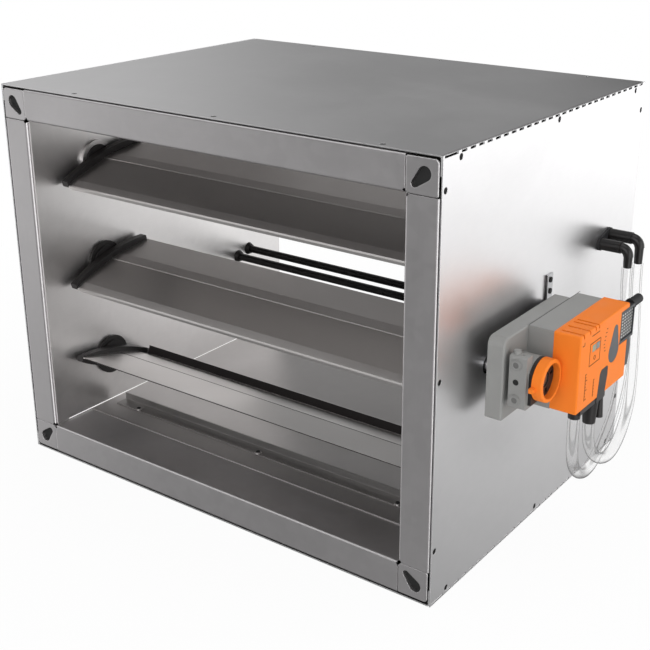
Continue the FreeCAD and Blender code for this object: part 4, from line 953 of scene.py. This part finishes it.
    def _vents(self) -> None:
        """Darkens the floors of the cover's vent grooves: painted shade."""
        floors = []
        low_z, in_x, gap = self.top_z - self.vent_d, self.face_x - self.vent_d, self.vent_gap
        for at in self.vents:
            y0, y1 = self.cover_front + at + gap, self.cover_front + at + self.vent_w - gap
            floors.append(Bar((self.face_x - self.vent_l + gap, y0, low_z), (in_x, y1, low_z + self.rise)))
            floors.append(Bar((in_x, y0, self.top_z - self.vent_down + gap), (in_x + self.rise, y1, low_z)))
        self.add_solids("cover_vent_shadows", floors, "casing", "engraving_and_groove_shade", "orange_housing")

    def _contacts(self) -> None:
        """Adds the plain grid of contacts on the socket's dished face."""
        floor_x = self.face_x - self.dish
        start, pitch, height = self.contact_z
        pads = []
        for row in range(self.contact_rows):
            z = start + pitch * row
            for y, width in self.contact_y:
                pads.append(Bar((floor_x, y, z), (floor_x + self.rise, y + width, z + height)))
        self.add_solids("socket_contacts", pads, "casing", "contact_pale", "screw_steel")


@dataclass(frozen=True)
class HoseRoute:
    """One clear hose: its length is in metres, the points that its line follows are in millimetres."""

    name: str
    node: str
    length: float
    points: tuple[Point, ...]


@dataclass
class Hoses(SubAssembly):
    """The two clear hoses from the elbows down and round to the actuator's ports."""

    radius: float = 0.0048
    routes: tuple[HoseRoute, ...] = (
        HoseRoute("front_clear_hose", "front_hose", 0.311, (
            (258.0, 100.0, 209.25), (258.0, 100.0, 192.25), (259.5, 101.5, 170.0), (262.0, 99.0, 145.5),
            (266.0, 90.5, 122.0), (270.5, 74.5, 103.0), (275.0, 55.0, 89.5), (277.5, 33.5, 76.5),
            (279.5, 10.5, 66.0), (281.5, -12.5, 63.5), (284.0, -34.5, 72.0), (287.0, -53.0, 88.5),
            (289.3, -62.5, 108.5), (290.0, -64.5, 126.8), (290.0, -64.5, 137.8))),
        HoseRoute("rear_clear_hose", "rear_hose", 0.278, (
            (260.5, 118.0, 208.75), (260.5, 118.0, 191.75), (261.5, 118.5, 173.0), (264.5, 114.5, 150.0),
            (268.5, 106.5, 127.0), (273.5, 95.0, 106.0), (279.5, 78.0, 89.5), (285.5, 52.5, 80.0),
            (290.5, 27.0, 75.8), (292.5, 6.9, 73.6), (292.2, -11.5, 78.2), (291.0, -26.5, 89.9),
            (290.0, -34.8, 106.5), (290.0, -34.8, 122.0))))

    def build(self) -> None:
        """Makes each hose as a round curve in place of its CAD tube."""
        for route in self.routes:
            self._hose(route)

    def _hose(self, route: HoseRoute) -> None:
        """Makes one hose.

        Args:
            route: its name, node, length and points.
        """
        curve = bpy.data.curves.new(route.name, "CURVE")
        curve.dimensions = "3D"
        curve.bevel_depth = self.radius
        curve.bevel_resolution = 8
        curve.resolution_u = 10
        spline = curve.splines.new("NURBS")
        spline.points.add(len(route.points) - 1)
        for point, place in zip(spline.points, route.points):
            point.co = (*(v * MM for v in place), 1.0)
        spline.order_u = 3
        spline.use_endpoint_u = True
        piece = link(route.name, curve)
        self.shop.dress(piece, "clear_tube")
        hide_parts(route.node)
        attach(piece, "casing")
        log.info("hose %s", route.name)


@dataclass(frozen=True)
class PhotoCamera:
    """The camera fitted to the photograph."""

    place: Point = (0.62048, -0.82595, 0.54478)
    right: Point = (0.8124811, 0.58298453, 0.00187105)
    down: Point = (0.20336647, -0.28041259, -0.93808894)
    ahead: Point = (-0.54636667, 0.76256004, -0.34638943)
    lens: float = 63.82
    shift_x: float = -0.0399
    shift_y: float = -0.0563

    def build(self) -> None:
        """Makes the camera and gives it to the scene."""
        data = bpy.data.cameras.new("photo_camera")
        data.sensor_width = 36.0
        data.lens = self.lens
        data.shift_x = self.shift_x
        data.shift_y = self.shift_y
        data.clip_start = 0.01
        data.clip_end = 100.0
        camera = link("photo_camera", data)
        right, up, back = Vector(self.right), -Vector(self.down), -Vector(self.ahead)
        turn = Matrix((right, up, back)).transposed().to_4x4()
        camera.matrix_world = Matrix.Translation(Vector(self.place)) @ turn
        bpy.context.scene.camera = camera


@dataclass(frozen=True)
class SoftLamp:
    """A square area lamp that looks at the box."""

    name: str
    place: Point
    side: float
    radiance: float


@dataclass(frozen=True)
class GlowPanel:
    """A soft round panel of light on the studio dome.

    It lies in one direction, begins where the cosine to that direction is start, and is full from full on.
    """

    aim: Point
    start: float
    full: float
    level: float


@dataclass
class Studio:
    """Pale floor, studio dome, lamps and camera."""

    target: Point = (0.0, 0.0, 0.18)
    floor_size: float = 12.0
    lamps: tuple[SoftLamp, ...] = (
        SoftLamp("right_lamp", (2.4, -0.3, 0.9), 1.6, 2.3),
        SoftLamp("front_lamp", (0.5, -2.6, 1.2), 1.8, 2.8),
        SoftLamp("top_lamp", (0.2, -0.2, 2.6), 1.8, 1.4))
    panels: tuple[GlowPanel, ...] = (
        GlowPanel((-0.97, -0.22, -0.1), 0.765, 0.93, 1.05),
        GlowPanel((-0.22, -0.62, -0.76), 0.88, 0.975, 0.50),
        GlowPanel((0.60, 0.75, 0.34), 0.85, 0.97, 1.8),
        GlowPanel((0.82, -0.50, -0.28), 0.86, 0.97, 1.9),
        GlowPanel((-0.62, -0.36, 0.70), 0.90, 0.98, 1.5),
        GlowPanel((-0.88, 0.38, 0.30), 0.85, 1.0, 0.72))
    levels: Stops = (
        (0.0, 0.22), (0.2, 0.27), (0.27, 0.44), (0.34, 0.84), (0.40, 1.28), (0.46, 1.18), (0.51, 0.40),
        (0.575, 0.15), (0.7, 0.20), (1.0, 0.45))
    spread: Stops = (
        (0.0, 0.19), (0.35, 0.34), (0.6, 1.05), (0.73, 1.15), (0.79, 0.0), (0.84, 0.6), (0.9, 1.05),
        (1.0, 1.12))
    dome_turn: Point = (0.586, 0.81, 0.0)
    dome_gain: float = 1.5
    floor_drop: float = 0.0004
    floor_grey: float = 0.9
    shade_reach: float = 2.0
    shade_stops: Stops = ((0.12, 0.94), (0.4, 1.0))

    def build(self) -> None:
        """Builds the whole studio."""
        scene = bpy.context.scene
        scene.view_settings.view_transform = "Standard"
        PhotoCamera().build()
        self._floor()
        self._dome()
        for lamp in self.lamps:
            self._lamp(lamp)

    def _lamp(self, lamp: SoftLamp) -> None:
        """Makes one lamp.

        Args:
            lamp: its place, size and radiance.
        """
        data = bpy.data.lights.new(lamp.name, "AREA")
        data.shape = "SQUARE"
        data.size = lamp.side
        data.energy = lamp.radiance * math.pi * lamp.side ** 2
        aim = Vector(self.target) - Vector(lamp.place)
        turn = aim.to_track_quat("-Z", "Y").to_matrix().to_4x4()
        link(lamp.name, data).matrix_world = Matrix.Translation(Vector(lamp.place)) @ turn

    def _floor(self) -> None:
        """Makes the pale floor, which keeps the box's shadow."""
        shape = bmesh.new()
        bmesh.ops.create_grid(shape, x_segments=1, y_segments=1, size=self.floor_size / 2)
        bmesh.ops.translate(shape, verts=shape.verts, vec=(0.0, 0.0, -self.floor_drop))
        floor = link_mesh("studio_floor", shape)
        floor.visible_glossy = False
        material = bpy.data.materials.new("studio_floor")
        material.use_nodes = True
        bench = NodeBench(material.node_tree)
        material.node_tree.nodes.remove(material.node_tree.nodes["Principled BSDF"])
        matt = bench.add("ShaderNodeBsdfDiffuse", {"Color": (*[self.floor_grey] * 3, 1.0)})
        glow = bench.add("ShaderNodeEmission")
        coords = bench.add("ShaderNodeTexCoord")
        distance = bench.add("ShaderNodeVectorMath", {0: coords.outputs["Object"]}, operation="LENGTH")
        reach = bench.math("DIVIDE", distance.outputs["Value"], self.shade_reach, clamp=True)
        share = bench.math("MULTIPLY", bench.ramp(reach, self.shade_stops), bench.seen())
        end = material.node_tree.nodes["Material Output"]
        bench.fill(end, {"Surface": bench.mix(share, matt, glow)})
        floor.data.materials.append(material)

    def _facing(self, bench: NodeBench, way: bpy.types.NodeSocket, aim: Point) -> bpy.types.NodeSocket:
        """Says how squarely a direction points at an aim.

        Args:
            bench: the world's bench.
            way: the direction's socket.
            aim: the aim, of any length.

        Returns:
            The cosine socket.
        """
        toward = {0: way, 1: Vector(aim).normalized()}
        return bench.add("ShaderNodeVectorMath", toward, operation="DOT_PRODUCT").outputs["Value"]

    def _panel(self, bench: NodeBench, way: bpy.types.NodeSocket, panel: GlowPanel) -> bpy.types.NodeSocket:
        """Adds one soft panel to the dome.

        Args:
            bench: the world's bench.
            way: the direction's socket.
            panel: where it lies and how bright it is.

        Returns:
            Its brightness socket.
        """
        soft = bench.add("ShaderNodeMapRange", {
            "Value": self._facing(bench, way, panel.aim), "From Min": panel.start, "From Max": panel.full,
            "To Max": panel.level}, interpolation_type="SMOOTHSTEP")
        return soft.outputs["Result"]

    def _dome(self) -> None:
        """Makes the studio dome: white to the camera, soft panels of light to the box."""
        world = bpy.data.worlds.new("studio_dome")
        bpy.context.scene.world = world
        world.use_nodes = True
        bench = NodeBench(world.node_tree)
        world.node_tree.nodes.clear()
        way = bench.add("ShaderNodeTexCoord").outputs["Generated"]
        base = self.dome_gain
        for aim, stops in ((UP, self.levels), (self.dome_turn, self.spread)):
            along = bench.math("ADD", self._facing(bench, way, aim), 1.0)
            base = bench.math("MULTIPLY", bench.ramp(bench.math("MULTIPLY", along, 0.5), stops), base)
        glow = base
        for panel in self.panels:
            glow = bench.math("ADD", glow, self._panel(bench, way, panel))
        soft = bench.add("ShaderNodeBackground", {"Strength": glow})
        plain = bench.add("ShaderNodeBackground", {"Color": (1.0, 1.0, 1.0, 1.0)})
        bench.add("ShaderNodeOutputWorld", {"Surface": bench.mix(bench.seen(), soft, plain)})


def main() -> None:
    """Loads the frame, dresses every sub-assembly and sets the studio."""
    logging.basicConfig(level=logging.INFO, format="%(name)s: %(message)s")
    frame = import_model()
    nodes = frame["nodes"]
    shop = FinishShop()
    for kind in (Casing, Damper, Probes, Actuator):
        group = kind(shop, nodes)
        group.dress()
        group.build()
        log.info("dressed %s", kind.__name__)
    Hoses(shop, nodes).build()
    Studio().build()


if __name__ == "__main__":
    main()
